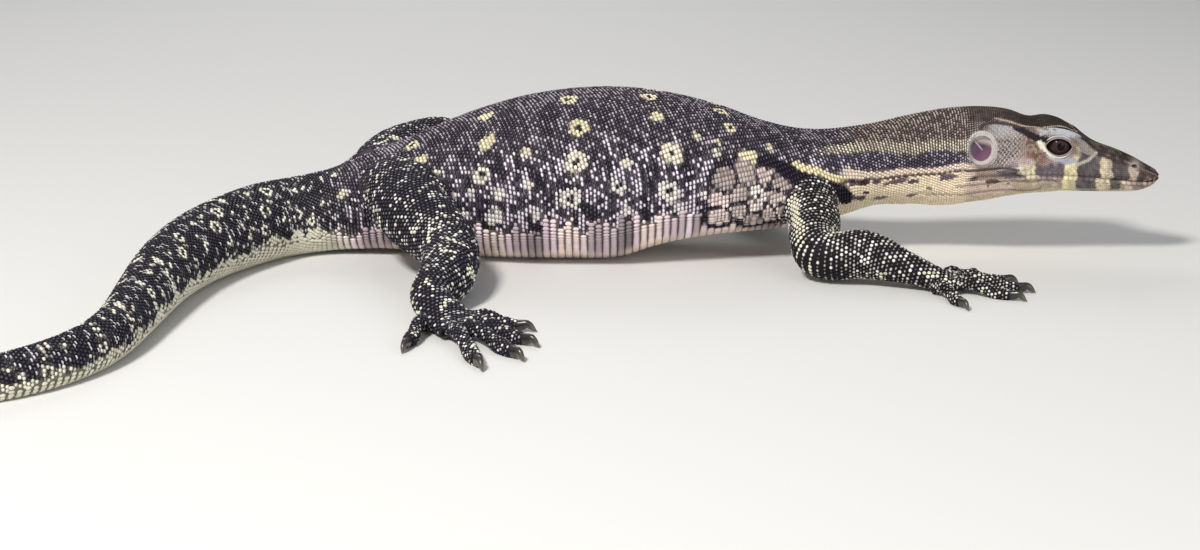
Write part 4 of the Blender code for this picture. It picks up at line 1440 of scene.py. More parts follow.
def head_paint(s, share, side, arc, chance):
    """The head's colours, by distance behind the snout and by height."""
    paint = Paint(len(s))
    behind = SNOUT - s
    z = trunk.look_up(trunk.smooth, s, share)[:, 1]
    crown, mouth, throat, _, _, drop, _, _ = head_sizes(s)
    ridge = crown - drop
    mottle = noise(s / 1.5, arc / 1.5 + side * 7, 31)
    coarse = noise(s / 5, arc / 4 + side * 7, 32)
    shade = 0.85 + 0.3 * chance
    top = ramp(z, ridge - 1.2, ridge - 0.2)

    # Temple and cheek, with slanting rows of darker scales, and rust behind the eye
    tan = np.array((0.40, 0.32, 0.28)) + coarse[:, None] * np.array((0.07, 0.02, -0.01))
    paint.lay(1, tan * 0.18, tint(tan, shade), 1.0)
    slant = 0.84 * behind - 0.54 * arc + 0.3 * (coarse - 0.5)
    rows = np.sin(slant * 2 * math.pi / CHEEK_ROW)
    cheek = ramp(behind, 51.5, 55.5) * (1 - ramp(behind, 68, 73)) * (1 - top) * ramp(z, 37.2, 38.4)
    paint.lay(cheek, (0.022, 0.018, 0.022), tint((0.74, 0.63, 0.57), (0.6 + 0.7 * coarse) * shade))
    paint.lay(cheek * (1 - ramp(rows, -0.6, -0.1)), (0.022, 0.018, 0.022), (0.05, 0.04, 0.048))
    whitish = cheek * bump(behind - 61, 8) * ramp(z, 47.5, 50)
    paint.lay(whitish * 0.7, (0.05, 0.05, 0.055), tint((0.56, 0.56, 0.56), shade))
    front_cheek = (1 - ramp(behind, 52, 56)) * ramp(behind, 43, 46)
    freckle = noise(s / 0.9, z / 0.9 + side * 7, 35)
    paint.lay(front_cheek * ramp(freckle, 0.62, 0.72), (0.09, 0.045, 0.035), (0.17, 0.10, 0.08))
    rust = bump(behind - 47.5, 6.0) * bump(z - 41.8, 4.5)
    paint.lay(rust * ramp(mottle, 0.42, 0.6) * 0.9, (0.08, 0.035, 0.03), (0.20, 0.09, 0.06))
    net = ramp(behind, 48, 50) * (1 - ramp(behind, 57, 60))
    net = net * ramp(z, 37.6, 38.4) * (1 - ramp(z, 40.2, 41.2))
    paint.lay(net * 0.8, (0.12, 0.08, 0.11), tint((0.68, 0.56, 0.53), shade))
    rear = ramp(behind + 5 * ramp(z, 49.5, 51.5), 69.5, 72.5)
    paint.lay(rear, NECK_BROWN, tint((0.46, 0.39, 0.34), shade), 0.6)
    paint.lay(
        rear * bump(share - 0.385, 0.07), (0.03, 0.025, 0.02), tint((0.9, 0.82, 0.62), shade * 0.9), 0.85
    )
    paint.lay(
        rear * ramp(share, 0.42, 0.432),
        (0.012, 0.009, 0.017),
        tint((0.30, 0.26, 0.32), shade * (0.4 + 0.8 * mottle)),
        0.6
    )

    # Crown
    speck = tint(BROWN, 0.3 + 1.5 * mottle**1.5 + 0.5 * chance)
    paint.lay(top, np.array(BROWN) * 0.35, speck, 0.8)
    paint.lay(
        top * ramp(behind, 50, 66), NECK_BROWN, tint((0.22, 0.165, 0.14), shade * (0.5 + mottle)), 0.5
    )
    front_top = top * (1 - ramp(behind, 24, 34))
    paint.lay(
        front_top * 0.6 * ramp(coarse + 0.5 * mottle, 0.6, 0.95),
        (0.09, 0.07, 0.06),
        (0.22, 0.17, 0.14),
        1.0
    )

    # Side of the snout and the lips, barred
    above_bars = mouth + np.interp(behind, (0, 9, 14, 24, 33, 40, 50), (5, 6.5, 7.5, 9.0, 7.0, 4.2, 4.2))
    side_face = (1 - ramp(behind, 62, 64)) * (1 - top)
    lore = side_face * (1 - ramp(behind, 30, 36))
    paint.lay(lore, (0.11, 0.085, 0.075), tint((0.46, 0.37, 0.31), shade * (0.2 + 1.2 * mottle)), 1.1)
    face = side_face * (1 - ramp(z + 2.4 * (mottle - 0.5), above_bars - 0.8, above_bars + 1.2))
    jagged = 1.1 * (noise(z / 0.9, side * 3, 33) - 0.5)
    down = ramp(-z, -mouth - 0.4, -mouth + 0.4)
    below_jaw = ramp(z, throat + 0.05 * (mouth - throat), throat + 0.2 * (mouth - throat))
    for (front, end), (low_front, low_end), colour in BARS:
        start = front + (low_front - front) * down + jagged
        stop = end + (low_end - end) * down + jagged
        inside = ramp(behind, start - 0.3, start + 0.3) * (1 - ramp(behind, stop - 0.3, stop + 0.3))
        fades = 1 - ramp(behind, 37.5, 40) * (1 - ramp(z, mouth - 1.4, mouth - 0.8))
        varied = tint(colour, (0.62 + 0.7 * mottle) * shade)
        paint.lay(face * inside * below_jaw * fades, varied * 0.4, varied, 1.1)
    ridge_band = lore * ramp(z + 1.4 * (coarse - 0.5) + 1.8 * (mottle - 0.5), ridge - 2.9, ridge - 1.9)
    paint.lay(
        ridge_band * 0.95,
        (0.018, 0.012, 0.011),
        tint((0.065, 0.042, 0.036), shade * (0.4 + 1.2 * mottle)),
        1.1
    )
    nostril = bump(np.hypot(behind - NOSTRIL_BEHIND_SNOUT, z - NOSTRIL_HEIGHT), 2.6)
    paint.lay(nostril * 0.9, (0.34, 0.30, 0.28), (0.52, 0.47, 0.44), 1.1)

    # Under the mouth
    chin = (1 - ramp(z, mouth - 1.5, mouth - 0.8)) * ramp(behind, 36, 40)
    olive = tint((0.52, 0.43, 0.32), (0.75 + 0.5 * mottle) * shade)
    paint.lay(chin, olive * 0.5, olive, 1.1)
    jaw = chin * ramp(behind, 52, 62)
    pink = tint(PINK_CREAM, (0.85 + 0.2 * mottle) * shade)
    paint.lay(jaw, pink * 0.6, pink, 1.1)
    under = 1 - ramp(z, throat + 0.1 * (mouth - throat), throat + 0.35 * (mouth - throat))
    pale = tint((0.66, 0.57, 0.38), shade)
    paint.lay(under, pale * 0.6, pale, 1.1)
    bands = under * ramp(np.sin(behind / 3.4), 0.2, 0.7) * (1 - ramp(behind, 30, 40))
    paint.lay(bands * 0.8, (0.1, 0.085, 0.085), (0.17, 0.14, 0.14))
    strip = rear * ramp(share, 0.502, 0.51)
    paint.whole(strip * (share < 0.6), pink, 0.55)

    # Lines and patches by the eye and ear
    for behind_at, height, wide, tall in HEAD_PATCHES:
        away = np.hypot((behind - behind_at) / wide, (z - height) / tall) + 0.5 * (mottle - 0.5)
        paint.lay(0.9 * (1 - ramp(away, 0.8, 1.15)), (0.025, 0.017, 0.019), (0.06, 0.042, 0.045))
    for points, width, ground, middle in HEAD_STROKES:
        marks = [(SNOUT - b, share_of_height(SNOUT - b, height)) for b, height in points]
        away = line_distance(s, share, marks) + 0.25 * (mottle - 0.5)
        paint.lay(1 - ramp(away, width * 0.75, width * 1.15), ground, tint(middle, shade), 1.0)
    wide, tall = EAR_RADII[0] + 1.5, EAR_RADII[1] + 1.5
    ear = np.hypot((behind - EAR_BEHIND_SNOUT) / wide, (z - EAR_HEIGHT) / tall)
    paint.lay(1 - ramp(ear, 0.92, 1.08), (0.3, 0.27, 0.27), tint((0.60, 0.56, 0.52), shade), 1.2)
    return paint


def share_of_height(s, z):
    """The share down the whole side at height z."""
    shares = np.linspace(0, 1, 400)
    heights = trunk.look_up(trunk.smooth, s, shares)[:, 1]
    return float(np.interp(-z, -np.maximum.accumulate(heights[::-1])[::-1], shares))


# Middle of the pale strip down the rear of the upper arm
ARM_STRIP = np.array(((73.0, 29.0, 27.0), (73.5, 36.0, 23.0), (74.5, 44.0, 19.5), (75.0, 51.0, 14.0)))


def leg_paint(points, chance, limb):
    """Black legs, thick with pale dots of many sizes, some in yellowish clusters."""
    paint = Paint(len(points))
    x, y, z = points.T
    bold = (chance * 7.31) % 1
    field = noise(x / 3.4 + y / 9, y / 3.4 + z / 3.4, limb)
    front = limb < 2
    dots = np.where(front, chance > 0.12, chance > 0.54)
    pale = tint((0.88, 0.85, 0.80), 0.45 + 0.6 * bold)
    dim = tint((0.14, 0.12, 0.15), 0.6 + 0.8 * bold)
    ground = np.where(front[:, None], (0.014, 0.012, 0.011), (0.018, 0.017, 0.026))
    paint.lay(1, ground, dim, 0.5)
    paint.lay(dots, None, pale, 0.5 + 0.35 * bold**1.5)
    patch = noise(x / 2.6 + 11, y / 2.6 + z / 3.2, limb + 4)
    rear_cluster = np.maximum(ramp(field, 0.9, 0.92), ramp(patch, 0.86, 0.88))
    cluster = np.where(front, ramp(field, 0.87, 0.90), rear_cluster)
    behind_arm = polyline_distance(as_columns(x, np.abs(y), z), ARM_STRIP) + 1.5 * (chance - 0.5)
    cluster = np.maximum(cluster, 1 - ramp(behind_arm, 1.8, 2.6))
    paint.whole(cluster, tint((0.84, 0.80, 0.62), 0.8 + 0.3 * chance), 0.2)
    return paint


# Scales

# Rings of a scale from its sunk rim to its middle: radius, height, and its length along
# the body as a share of its width
DOME = ((1.0, -0.9, 1.0), (0.84, 0.4, 0.95), (0.6, 0.85, 0.82), (0.0, 1.0, 1.0))
GRAIN = ((1.0, -0.9, 1.0), (0.72, 0.62, 1.0), (0.0, 1.0, 1.0))
PLATE = ((1.0, -0.9, 1.0), (0.9, 0.35, 1.0), (0.66, 0.85, 1.0), (0.0, 1.0, 1.0))
SINK = 0.35
# How much narrower a scale's pale mark is along the body than down the side
MARK_SQUEEZE = 1.5


def template(profile, sides, fill, square=2.0):
    """Unit points, faces and the radius of each point of a scale, from its rim, and its
    half length as a share of the step between rows."""
    turns = round_angles(sides, 0.5)
    circle = as_columns(np.cos(turns), np.sin(turns))
    circle /= (np.abs(circle) ** square).sum(1)[:, None] ** (1 / square)
    points = []
    for radius, height, pinch in profile[:-1]:
        points.append(np.column_stack([circle * (radius * pinch, radius), np.full(sides, height)]))
    points = np.vstack(points + [(0, 0, profile[-1][1])])
    rows = len(profile) - 1
    faces = [list(range(sides))[::-1]] + grid_faces(rows, sides)
    last, apex = (rows - 1) * sides, rows * sides
    faces += [[last + k, last + (k + 1) % sides, apex] for k in range(sides)]
    radii = np.hypot(points[:, 0] * MARK_SQUEEZE, points[:, 1])
    return points, faces, radii, fill


class Scales:
    """Scales of one shape: their places, directions and sizes, and how they're painted.

    paint takes the points of the scales, where they lie over the body, how far each of
    a scale's points lies from its middle, and a random number for each scale.
    """

    def __init__(self, shape, paint):
        self.shape = shape
        self.paint = paint
        self.parts = []

    def add(self, points, along, sizes, where, near=1.0):
        keep, points, along, normal = on_skin(points, along, near)
        self.parts.append((points, along, normal, sizes[keep], where[keep]))

    def arrays(self):
        return [np.concatenate(parts) for parts in zip(*self.parts)]


def skin_tree():
    """A search tree over the skin, in millimetres."""
    bm = bmesh.new()
    bm.from_mesh(skin.data)
    bmesh.ops.scale(bm, vec=(1 / MM,) * 3, verts=bm.verts)
    tree = BVHTree.FromBMesh(bm)
    bm.free()
    return tree


def on_skin(points, along, near):
    """Moves places onto the skin, and says which of them are that near to it."""
    keep = np.zeros(len(points), bool)
    normals = np.zeros_like(points)
    moved = points.copy()
    for k, point in enumerate(points):
        spot, normal, _, far = tree.find_nearest(point)
        keep[k] = far < near
        moved[k] = spot
        normals[k] = normal
    flat = along - (along * normals).sum(1)[:, None] * normals
    size = np.linalg.norm(flat, axis=1)
    keep &= size > 0.3 * np.linalg.norm(along, axis=1)
    flat /= np.maximum(size, 1e-9)[:, None]
    return keep, moved[keep], flat[keep], normals[keep]


tree = skin_tree()


# How softly the pale middle of a scale ends, as a share of its radius
DOT_EDGE = 0.2
# How far scales stay above the floor, and half the size of a scale's patch in the bake map
FLOOR_GAP = 0.02
PATCH_SIZE = 0.0015


def over_trunk(points, where, local, chance):
    """Paint of every point of the trunk's scales, each at its own place on the head, and
    one to a scale behind it."""
    s, share, side = where.T[:, :, None]
    local = local * ramp(s, 140, 146)[..., None]
    down = side * local[..., 1] / np.maximum(trunk.arc_slope(s, share), 1)
    share = np.clip(share + down, 0, 1)
    values = s + local[..., 0], share, side, chance[:, None]
    return trunk_paint(*(np.broadcast_to(value, share.shape).ravel() for value in values))


def over_legs(points, where, local, chance):
    """Paint of every point of the legs' scales, one to a scale."""
    each = np.repeat(np.arange(len(points)), local.shape[1])
    return leg_paint(points[each], chance[each], where[each, 2])


def coat(name, groups, material, slot, chart):
    """One joined mesh of scales, with colours, and a bake map of a patch to a scale."""
    co, faces, colour, uv = [], [], [], []
    start = 0
    for scales in groups:
        unit, unit_faces, radius, _ = scales.shape
        points, along, normal, sizes, where = scales.arrays()
        across = np.cross(normal, along)
        jitter = rng.uniform(0.94, 1.06, (len(points), 1))
        local = unit[None] * (sizes * jitter)[:, None, :]
        local[..., 2] = np.where(unit[None, :, 2] < 0, -SINK, local[..., 2])
        world = (
            points[:, None]
            + local[..., :1] * along[:, None]
            + local[..., 1:2] * across[:, None]
            + local[..., 2:] * normal[:, None]
        )
        world[..., 2] = np.maximum(world[..., 2], FLOOR_GAP)
        co.append(world.reshape(-1, 3))
        index = np.arange(len(points)) * len(unit) + start
        for face in unit_faces:
            faces.append(index[:, None] + np.array(face)[None])
        start += len(points) * len(unit)
        paint = scales.paint(points, where, local, rng.random(len(points)))
        radius = np.tile(radius, len(points))
        above = np.tile(unit[:, 2] > 0, len(points))
        reach = smoothstep((paint.spread - radius) / DOT_EDGE + 0.5) * above
        colour.append(blend(paint.ground, paint.middle, reach))
        patch = chart(where)[:, None] + unit[None, :, :2] * PATCH_SIZE
        uv.append(patch.reshape(-1, 2))
    co = np.concatenate(co)
    mesh = bpy.data.meshes.new(name)
    mesh.vertices.add(len(co))
    mesh.vertices.foreach_set("co", (co * MM).ravel())
    loops = np.concatenate([face.ravel() for face in faces])
    corners = np.concatenate([np.full(len(face), face.shape[1]) for face in faces])
    mesh.loops.add(len(loops))
    mesh.loops.foreach_set("vertex_index", loops)
    mesh.polygons.add(len(corners))
    mesh.polygons.foreach_set("loop_start", np.concatenate([[0], np.cumsum(corners)[:-1]]))
    mesh.update(calc_edges=True)
    mesh.shade_smooth()
    paint_mesh(mesh, np.concatenate(colour))
    layer = mesh.uv_layers.new(name="OFBake")
    layer.data.foreach_set("uv", np.concatenate(uv)[loops].ravel())
    finish_piece(add_object(name, mesh), material, slot)


def paint_mesh(mesh, colours):
    layer = mesh.color_attributes.new("paint", "FLOAT_COLOR", "POINT")
    rgba = np.column_stack([np.clip(colours, 0, 1), np.ones(len(colours))])
    layer.data.foreach_set("color", rgba.ravel())


def finish_piece(obj, material, slot, *nodes):
    obj.data.materials.clear()
    obj.data.materials.append(material)
    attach(obj, "root")
    if nodes:
        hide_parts(*nodes)


# Materials


def new_material(name, roughness, specular=0.5, coat_weight=0.0, coat_roughness=0.1):
    made = bpy.data.materials.new(name)
    made.use_nodes = True
    shader = made.node_tree.nodes["Principled BSDF"]
    shader.inputs["Roughness"].default_value = roughness
    shader.inputs["Specular IOR Level"].default_value = specular
    shader.inputs["Coat Weight"].default_value = coat_weight
    shader.inputs["Coat Roughness"].default_value = coat_roughness
    return made, made.node_tree.nodes, made.node_tree.links, shader


# How far the roughness changes over a surface, and how strong its fine relief is
GLOSS_CHANGE = 0.1
RELIEF_STRENGTH = 0.5


def painted_material(name, roughness, vary, grain, grain_size, bump_size, **more):
    """Paint from the mesh, varied by noise, with noise in its gloss and its surface."""
    made, nodes, links, shader = new_material(name, roughness, **more)
    paint = nodes.new("ShaderNodeAttribute")
    paint.attribute_name = "paint"
    place_at = nodes.new("ShaderNodeTexCoord")

    def noise_node(size, detail):
        node = nodes.new("ShaderNodeTexNoise")
        node.inputs["Scale"].default_value = 1 / (size * MM)
        node.inputs["Detail"].default_value = detail
        links.new(place_at.outputs["Object"], node.inputs["Vector"])
        return node.outputs["Fac"]

    def range_node(middle, reach):
        node = nodes.new("ShaderNodeMapRange")
        node.inputs["To Min"].default_value = middle - reach
        node.inputs["To Max"].default_value = middle + reach
        links.new(fine, node.inputs["Value"])
        return node.outputs["Result"]

    fine = noise_node(grain_size, 3)
    shaded = nodes.new("ShaderNodeVectorMath")
    shaded.operation = "SCALE"
    links.new(paint.outputs["Color"], shaded.inputs[0])
    links.new(range_node(1, vary), shaded.inputs["Scale"])
    links.new(shaded.outputs["Vector"], shader.inputs["Base Color"])
    links.new(range_node(roughness, GLOSS_CHANGE), shader.inputs["Roughness"])
    relief = nodes.new("ShaderNodeBump")
    relief.inputs["Strength"].default_value = RELIEF_STRENGTH
    relief.inputs["Distance"].default_value = grain * MM
    links.new(noise_node(bump_size, 2), relief.inputs["Height"])
    links.new(relief.outputs["Normal"], shader.inputs["Normal"])
    return made


skin_material = painted_material("skin", 0.6, 0.15, 0.12, 0.6, 0.45, specular=0.08)
scale_material = painted_material("scales", 0.5, 0.12, 0.05, 0.5, 0.25, specular=0.08)
head_material = painted_material("head_scales", 0.52, 0.14, 0.05, 0.4, 0.25, specular=0.1)
lid_material = painted_material("lids", 0.4, 0.1, 0.04, 0.5, 0.3)
eye_material = painted_material(
    "eye", 0.25, 0.25, 0.0, 0.35, 0.3, specular=0.05, coat_weight=0.2, coat_roughness=0.02
)
drum_material = painted_material("eardrum", 0.32, 0.15, 0.05, 0.9, 0.5, coat_weight=0.4, coat_roughness=0.2)
claw_material = painted_material("claw", 0.3, 0.2, 0.03, 0.8, 0.4, coat_weight=0.3, coat_roughness=0.15)


# Laying the scales

dome6 = template(DOME, 6, 0.56)
grain6 = template(GRAIN, 6, 0.58)
plate8 = template(PLATE, 8, 0.5, 5.0)


def across_pitch(s, share):
    """Distance between scales down the side."""
    torso = np.interp(share, (0, 0.15, 0.4, 0.62, 0.75, 1), (1.45, 1.5, 1.8, 1.85, 1.0, 1.0))
    neck = np.interp(share, (0, 0.3, 0.5, 0.6, 1), (1.15, 1.2, 1.2, 1.1, 1.2))
    tail = np.interp(share, (0, 0.5, 0.7, 1), (1.5, 1.55, 1.5, 1.5))
    head = np.full_like(share, 0.8)
    pitch = torso + (neck - torso) * ramp(s, 84, 104)
    pitch = pitch + (head - pitch) * ramp(s, 138, 150)
    pitch = pitch + (tail - pitch) * (1 - ramp(s, -112, -92))
    return pitch * np.interp(s, (-578, -480, -250), (0.45, 0.7, 1.0))


def lay_trunk():
    """Scales of both sides: path position, share, side, half length and half width."""
    beads, plates = [], []
    shares = np.linspace(0, 1, 500)
    for row, (s, step) in enumerate(zip(*ROWS)):
        arc = trunk.arc_at(s, shares)
        pitch = across_pitch(s, shares)
        count = np.concatenate([[0], np.cumsum(np.diff(arc) / (pitch[1:] + pitch[:-1]) * 2)])
        start = float(belly_from(s))
        k = np.arange(0, count[-1], 1) + 0.5 * (row % 2)
        at = np.interp(k, count, shares)
        at = at[at < start]
        wide = np.interp(at, shares, pitch)
        for side in (-1, 1):
            some = at > 1e-6 if side == 1 else at >= 0
            beads.append(as_columns(s, at[some], side, step, wide[some]))
        if row % 2 or start > 1:
            continue
        first = np.interp(start, shares, count)
        k = np.arange(np.ceil(first) + 0.5 * (row // 2 % 2), count[-1], 1)
        at = np.interp(k, count, shares)
        wide = np.interp(at, shares, pitch)
        plates += [as_columns(s, at, side, 2 * step, wide) for side in (-1, 1)]
    return np.concatenate(beads), np.concatenate(plates)


def trunk_frames(s, share, side):
    """Points and forward directions on the trunk's skin."""
    point = trunk.point(s, share, side)
    ahead = trunk.point(np.minimum(s + 0.5, SNOUT), share, side)
    behind = trunk.point(s - 0.5, share, side)
    return point, unit_rows(ahead - behind)


def openings_clear(points):
    """False where a scale would lie in an eye's opening, an ear or a nostril."""
    clear = np.ones(len(points), bool)
    for side, _ in SIDES:
        x, y, z = apply(eye_frame(side).inverted(), points).T
        inside = np.hypot(x / (LID_OPENING[0] / 2 + 1.6), z / (LID_OPENING[1] / 2 + 1.9)) < 1
        clear &= ~(inside & (y * side > 0))
        x, y, z = apply(ear_frame(side).inverted(), points).T
        inside = np.hypot(x / (EAR_RADII[0] + 0.5), z / (EAR_RADII[1] + 0.5)) < 1
        clear &= ~(inside & (np.abs(y) < 4))
        x, y, z = apply(nostril_frame(side).inverted(), points).T
        inside = np.hypot(x / 1.9, z / 1.3) < 1
        clear &= ~(inside & (np.abs(y) < 2))
    return clear


def height_of(s, share):
    """How far a bead stands up, less on the head and throat."""
    body = np.interp(share, (0, 0.3, 0.6, 0.75), (0.42, 0.42, 0.36, 0.22))
    neck = np.interp(share, (0, 0.5, 0.6, 1), (0.4, 0.36, 0.22, 0.2))
    height = body + (neck - body) * ramp(s, 84, 104)
    head = np.interp(share, (0, 0.2, 0.35, 1), (0.15, 0.12, 0.09, 0.08))
    return height + (head - height) * ramp(s, 138, 152)


beads, plates = lay_trunk()
beads[:, 0] += column_shift(beads[:, 0], beads[:, 1])
beads[:, 0] = np.clip(beads[:, 0] + rng.normal(0, 0.05, len(beads)), TAIL_TIP + 0.5, SNOUT - 0.3)


def chart_of(low, high, rows=1):
    """Unrolls the trunk between two path positions onto a square, in rows."""
    length = (high - low) / rows

    def chart(where):
        s, share, side = where.T
        arc = trunk.arc_at(s, share)
        row = np.clip(np.floor((s - low) / length), 0, rows - 1)
        u = (s - low - row * length) / length
        off = side * arc / length * 0.9
        v = (row + 0.5 + off / 2) / rows if rows > 1 else 0.5 + off
        return on_chart(u, v)

    return chart


def on_chart(u, v):
    """Places on the bake map, with a margin round them."""
    return 0.01 + 0.98 * np.clip(as_columns(u, v), 0, 1)


def scale_growth(s, share):
    """How much longer and taller a scale is than its share of the lattice."""
    torso = ramp(s, -104, -92) * (1 - ramp(s, 92, 102))
    head = ramp(s, 140, 150)
    neck = ramp(s, 92, 102) * (1 - head)
    cheek = on_cheek(s, share)
    tail = 1 - ramp(s, -104, -92)
    long = 1 - 0.06 * torso + 0.12 * neck + 0.3 * head - 0.02 * tail
    tall = 1 + 0.2 * torso + 0.14 * neck + 0.3 * head + 0.22 * tail
    return long * (1 - 0.42 * cheek), tall * (1 + 0.4 * cheek)


# How near to the skin a scale's place has to be, and on the head
NEAR = 1.0
HEAD_NEAR = 2.2


def trunk_group(rows, low, high, shape, height, clear=False):
    """Scales of one stretch of the trunk, with a height or a function that gives it.
    clear leaves out those that would cover the mouth's line or an opening."""
    some = rows[(rows[:, 0] >= low) & (rows[:, 0] < high)]
    if clear:
        s, share = some[:, 0], some[:, 1]
        gape = np.abs(trunk.arc_at(s, share) - trunk.arc_at(s, MOUTH_AT))
        some = some[(gape > 1.75) | (s < SNOUT - 57)]
    s, share, side, step, wide = some.T
    point, along = trunk_frames(s, share, side)
    if clear:
        fine = openings_clear(point)
        some, point, along = some[fine], point[fine], along[fine]
        s, share, side, step, wide = some.T
    long, tall, high_up = 1, 1, height
    if callable(height):
        long, tall = scale_growth(s, share)
        high_up = height(s, share)
        down = unit_rows(trunk.point(s, share + 0.004, side) - trunk.point(s, share - 0.004, side))
        along = unit_rows(along - lean_of(s, share)[:, None] * down)
    sizes = as_columns(shape[3] * step * long, 0.49 * wide * tall, high_up)
    scales = Scales(shape, over_trunk)
    scales.add(point, along, sizes, as_columns(s, share, side), HEAD_NEAR if low > 140 else NEAR)
    return scales


TRUNK_COATS = (
    ("torso_scales_front", 20, 97, 1, dome6),
    ("torso_scales_middle", -36, 20, 1, dome6),
    ("torso_scales_back", -98, -36, 1, dome6),
    ("tail_scales_front", -250, -98, 1, grain6),
    ("tail_scales_back", -600, -250, 2, grain6),
)
for name, low, high, rows, shape in TRUNK_COATS:
    groups = [
        trunk_group(beads, low, high, shape, height_of),
        trunk_group(plates, low, high, plate8, 0.45),
    ]
    coat(name, groups, scale_material, "body_skin", chart_of(low, high, rows))

# Path positions where the coats of neck, cheek and muzzle begin, and one beyond the snout
NECK_FROM, CHEEK_FROM, MUZZLE_FROM, BEYOND = 97, 146, 176, 230
neck = trunk_group(beads, NECK_FROM, CHEEK_FROM, grain6, height_of, True)
coat("neck_scales", [neck], scale_material, "head_skin", chart_of(NECK_FROM, CHEEK_FROM))


# Step between the plates of a lip, their distance from its line, and their size along
# the lip and across it
LIP_STEP = 2.05
LIP_GAP = 0.93
LIP_PLATE = (2.4, 1.8)


def labials():
    """Plates along the upper and lower lip."""
    made = []
    for side in (-1, 1):
        for lip in (-1, 1):
            behind = np.arange(1.4, 56, LIP_STEP)
            s = SNOUT - behind
            arc = trunk.arc_at(s, MOUTH_AT) + lip * LIP_GAP
            shares = np.linspace(0.5, 0.75, 200)
            share = np.array([np.interp(a, trunk.arc_at(x, shares), shares) for x, a in zip(s, arc)])
            made.append(as_columns(s, share, side, *LIP_PLATE))
    return np.concatenate(made)


lips = trunk_group(labials(), 100, BEYOND, plate8, 0.1)
cheeks = trunk_group(beads, CHEEK_FROM, MUZZLE_FROM, grain6, height_of, True)
muzzle = trunk_group(beads, MUZZLE_FROM, BEYOND, grain6, height_of, True)
coat("cheek_scales", [cheeks], head_material, "head_skin", chart_of(CHEEK_FROM, MUZZLE_FROM))
coat("muzzle_scales", [muzzle, lips], head_material, "head_skin", chart_of(158, SNOUT + 1))


def tube_scales(rings, along_pitch, round_pitch, height, seed, trim=0):
    """Scales over a grid of rings, in rows set off by half a scale."""
    centres = rings.mean(axis=1)
    run = np.concatenate([[0], np.cumsum(np.linalg.norm(np.diff(centres, axis=0), axis=1))])
    made, dirs, steps, where = [], [], [], []
    columns = rings.shape[1]
    for row, u in enumerate(np.arange(0.5, run[-1] - trim, along_pitch)):
        k = np.interp(u, run, np.arange(len(run)))
        i = min(int(k), len(run) - 2)
        ring = rings[i] * (1 - k + i) + rings[i + 1] * (k - i)
        loop = np.vstack([ring, ring[:1]])
        arc = np.concatenate([[0], np.cumsum(np.linalg.norm(np.diff(loop, axis=0), axis=1))])
        count = max(5, round(arc[-1] / round_pitch))
        at = (np.arange(count) + 0.5 * (row % 2)) / count * arc[-1]
        column = np.interp(at, arc, np.arange(columns + 1))
        j = column.astype(int)
        part = (column - j)[:, None]
        made.append(loop[j] * (1 - part) + loop[j + 1] * part)
        nxt = np.vstack([rings[i + 1], rings[i + 1][:1]]) - np.vstack([rings[i], rings[i][:1]])
        dirs.append(nxt[j] * (1 - part) + nxt[j + 1] * part)
        steps.append(np.full(count, arc[-1] / count))
        where.append(as_columns(u, at, seed))
    points, dirs, wide = np.concatenate(made), unit_rows(np.concatenate(dirs)), np.concatenate(steps)
    sizes = as_columns(0.58 * along_pitch, 0.5 * wide, height)
    return points, dirs, sizes, np.concatenate(where)


def leg_chart(where):
    """Unrolls a leg and its digits onto a square."""
    return on_chart(where[:, 0] / 160, where[:, 1] / 110)


for number, name in enumerate(LEGS):
    scales = Scales(dome6, over_legs)
    scales.add(*tube_scales(leg_parts[name][2], 1.55, 1.65, 0.4, number))
    small = Scales(dome6, over_legs)
    for order, digit in enumerate(digit_parts[name]):
        points, dirs, sizes, where = tube_scales(digit[1], 1.3, 1.35, 0.3, number, 0.3)
        where[:, :2] += (110, order * 18)
        small.add(points, dirs, sizes, where)
    coat(f"{name}_scales", [scales, small], scale_material, "body_skin", leg_chart)


# Colours of the skin under the scales


def paint_skin():
    """Gives each point of the skin the colours of the markings there, and painted shade inside the
    nostrils' pits.
    """
    mesh = skin.data
    co = mesh_points(mesh)
    places = []
    for side in (-1, 1):
        s = grid_s[:, ::2].ravel()
        share = grid_share[:, ::2].ravel()
        points = trunk.point(s, share, side)
        places.append(np.column_stack([points, s, share, np.full(len(s), side)]))
    for name in LEGS:
        rings = leg_parts[name][2][12:]
        parts = [rings[:, ::2].reshape(-1, 3)]
        parts += [part[1][:, ::2].reshape(-1, 3) for part in digit_parts[name]]
        points = np.concatenate(parts)
        places.append(np.column_stack([points, np.zeros((len(points), 3))]))
    places = np.concatenate(places)
    near = search_tree(places[:, :3])
    found = places[[near.find(point)[1] for point in co]]
    on_trunk = found[:, 5] != 0
    some = trunk_paint(*found[on_trunk, 3:].T, np.full(on_trunk.sum(), 0.5))
    shown = np.where(found[on_trunk, 3] > 146, 0.55, 0.12)
    colours = np.tile(BLACK, (len(co), 1)).astype(float) * 1.5
    colours[on_trunk] = blend(some.ground, some.middle, shown * np.minimum(some.spread, 1))
    for side, word in SIDES:
        eye = np.array(eye_frame(side))[:3, 3]
        colours[np.linalg.norm(co - eye, axis=1) < EYE_RADIUS + 0.3] = (0.05, 0.03, 0.03)
        # Painted shade inside the nostril's pit
        x, y, z = apply(nostril_frame(side).inverted(), co).T
        inside = (np.hypot(x / 1.35, z / 1.05) < 1) & (y * side < 0.1) & (np.abs(y) < 2)
        colours[inside] = (0.09, 0.07, 0.065)
    paint_mesh(mesh, colours)


paint_skin()
finish_piece(skin, skin_material, "body_skin", *flesh)


# Eyes, lids, eardrums and claws


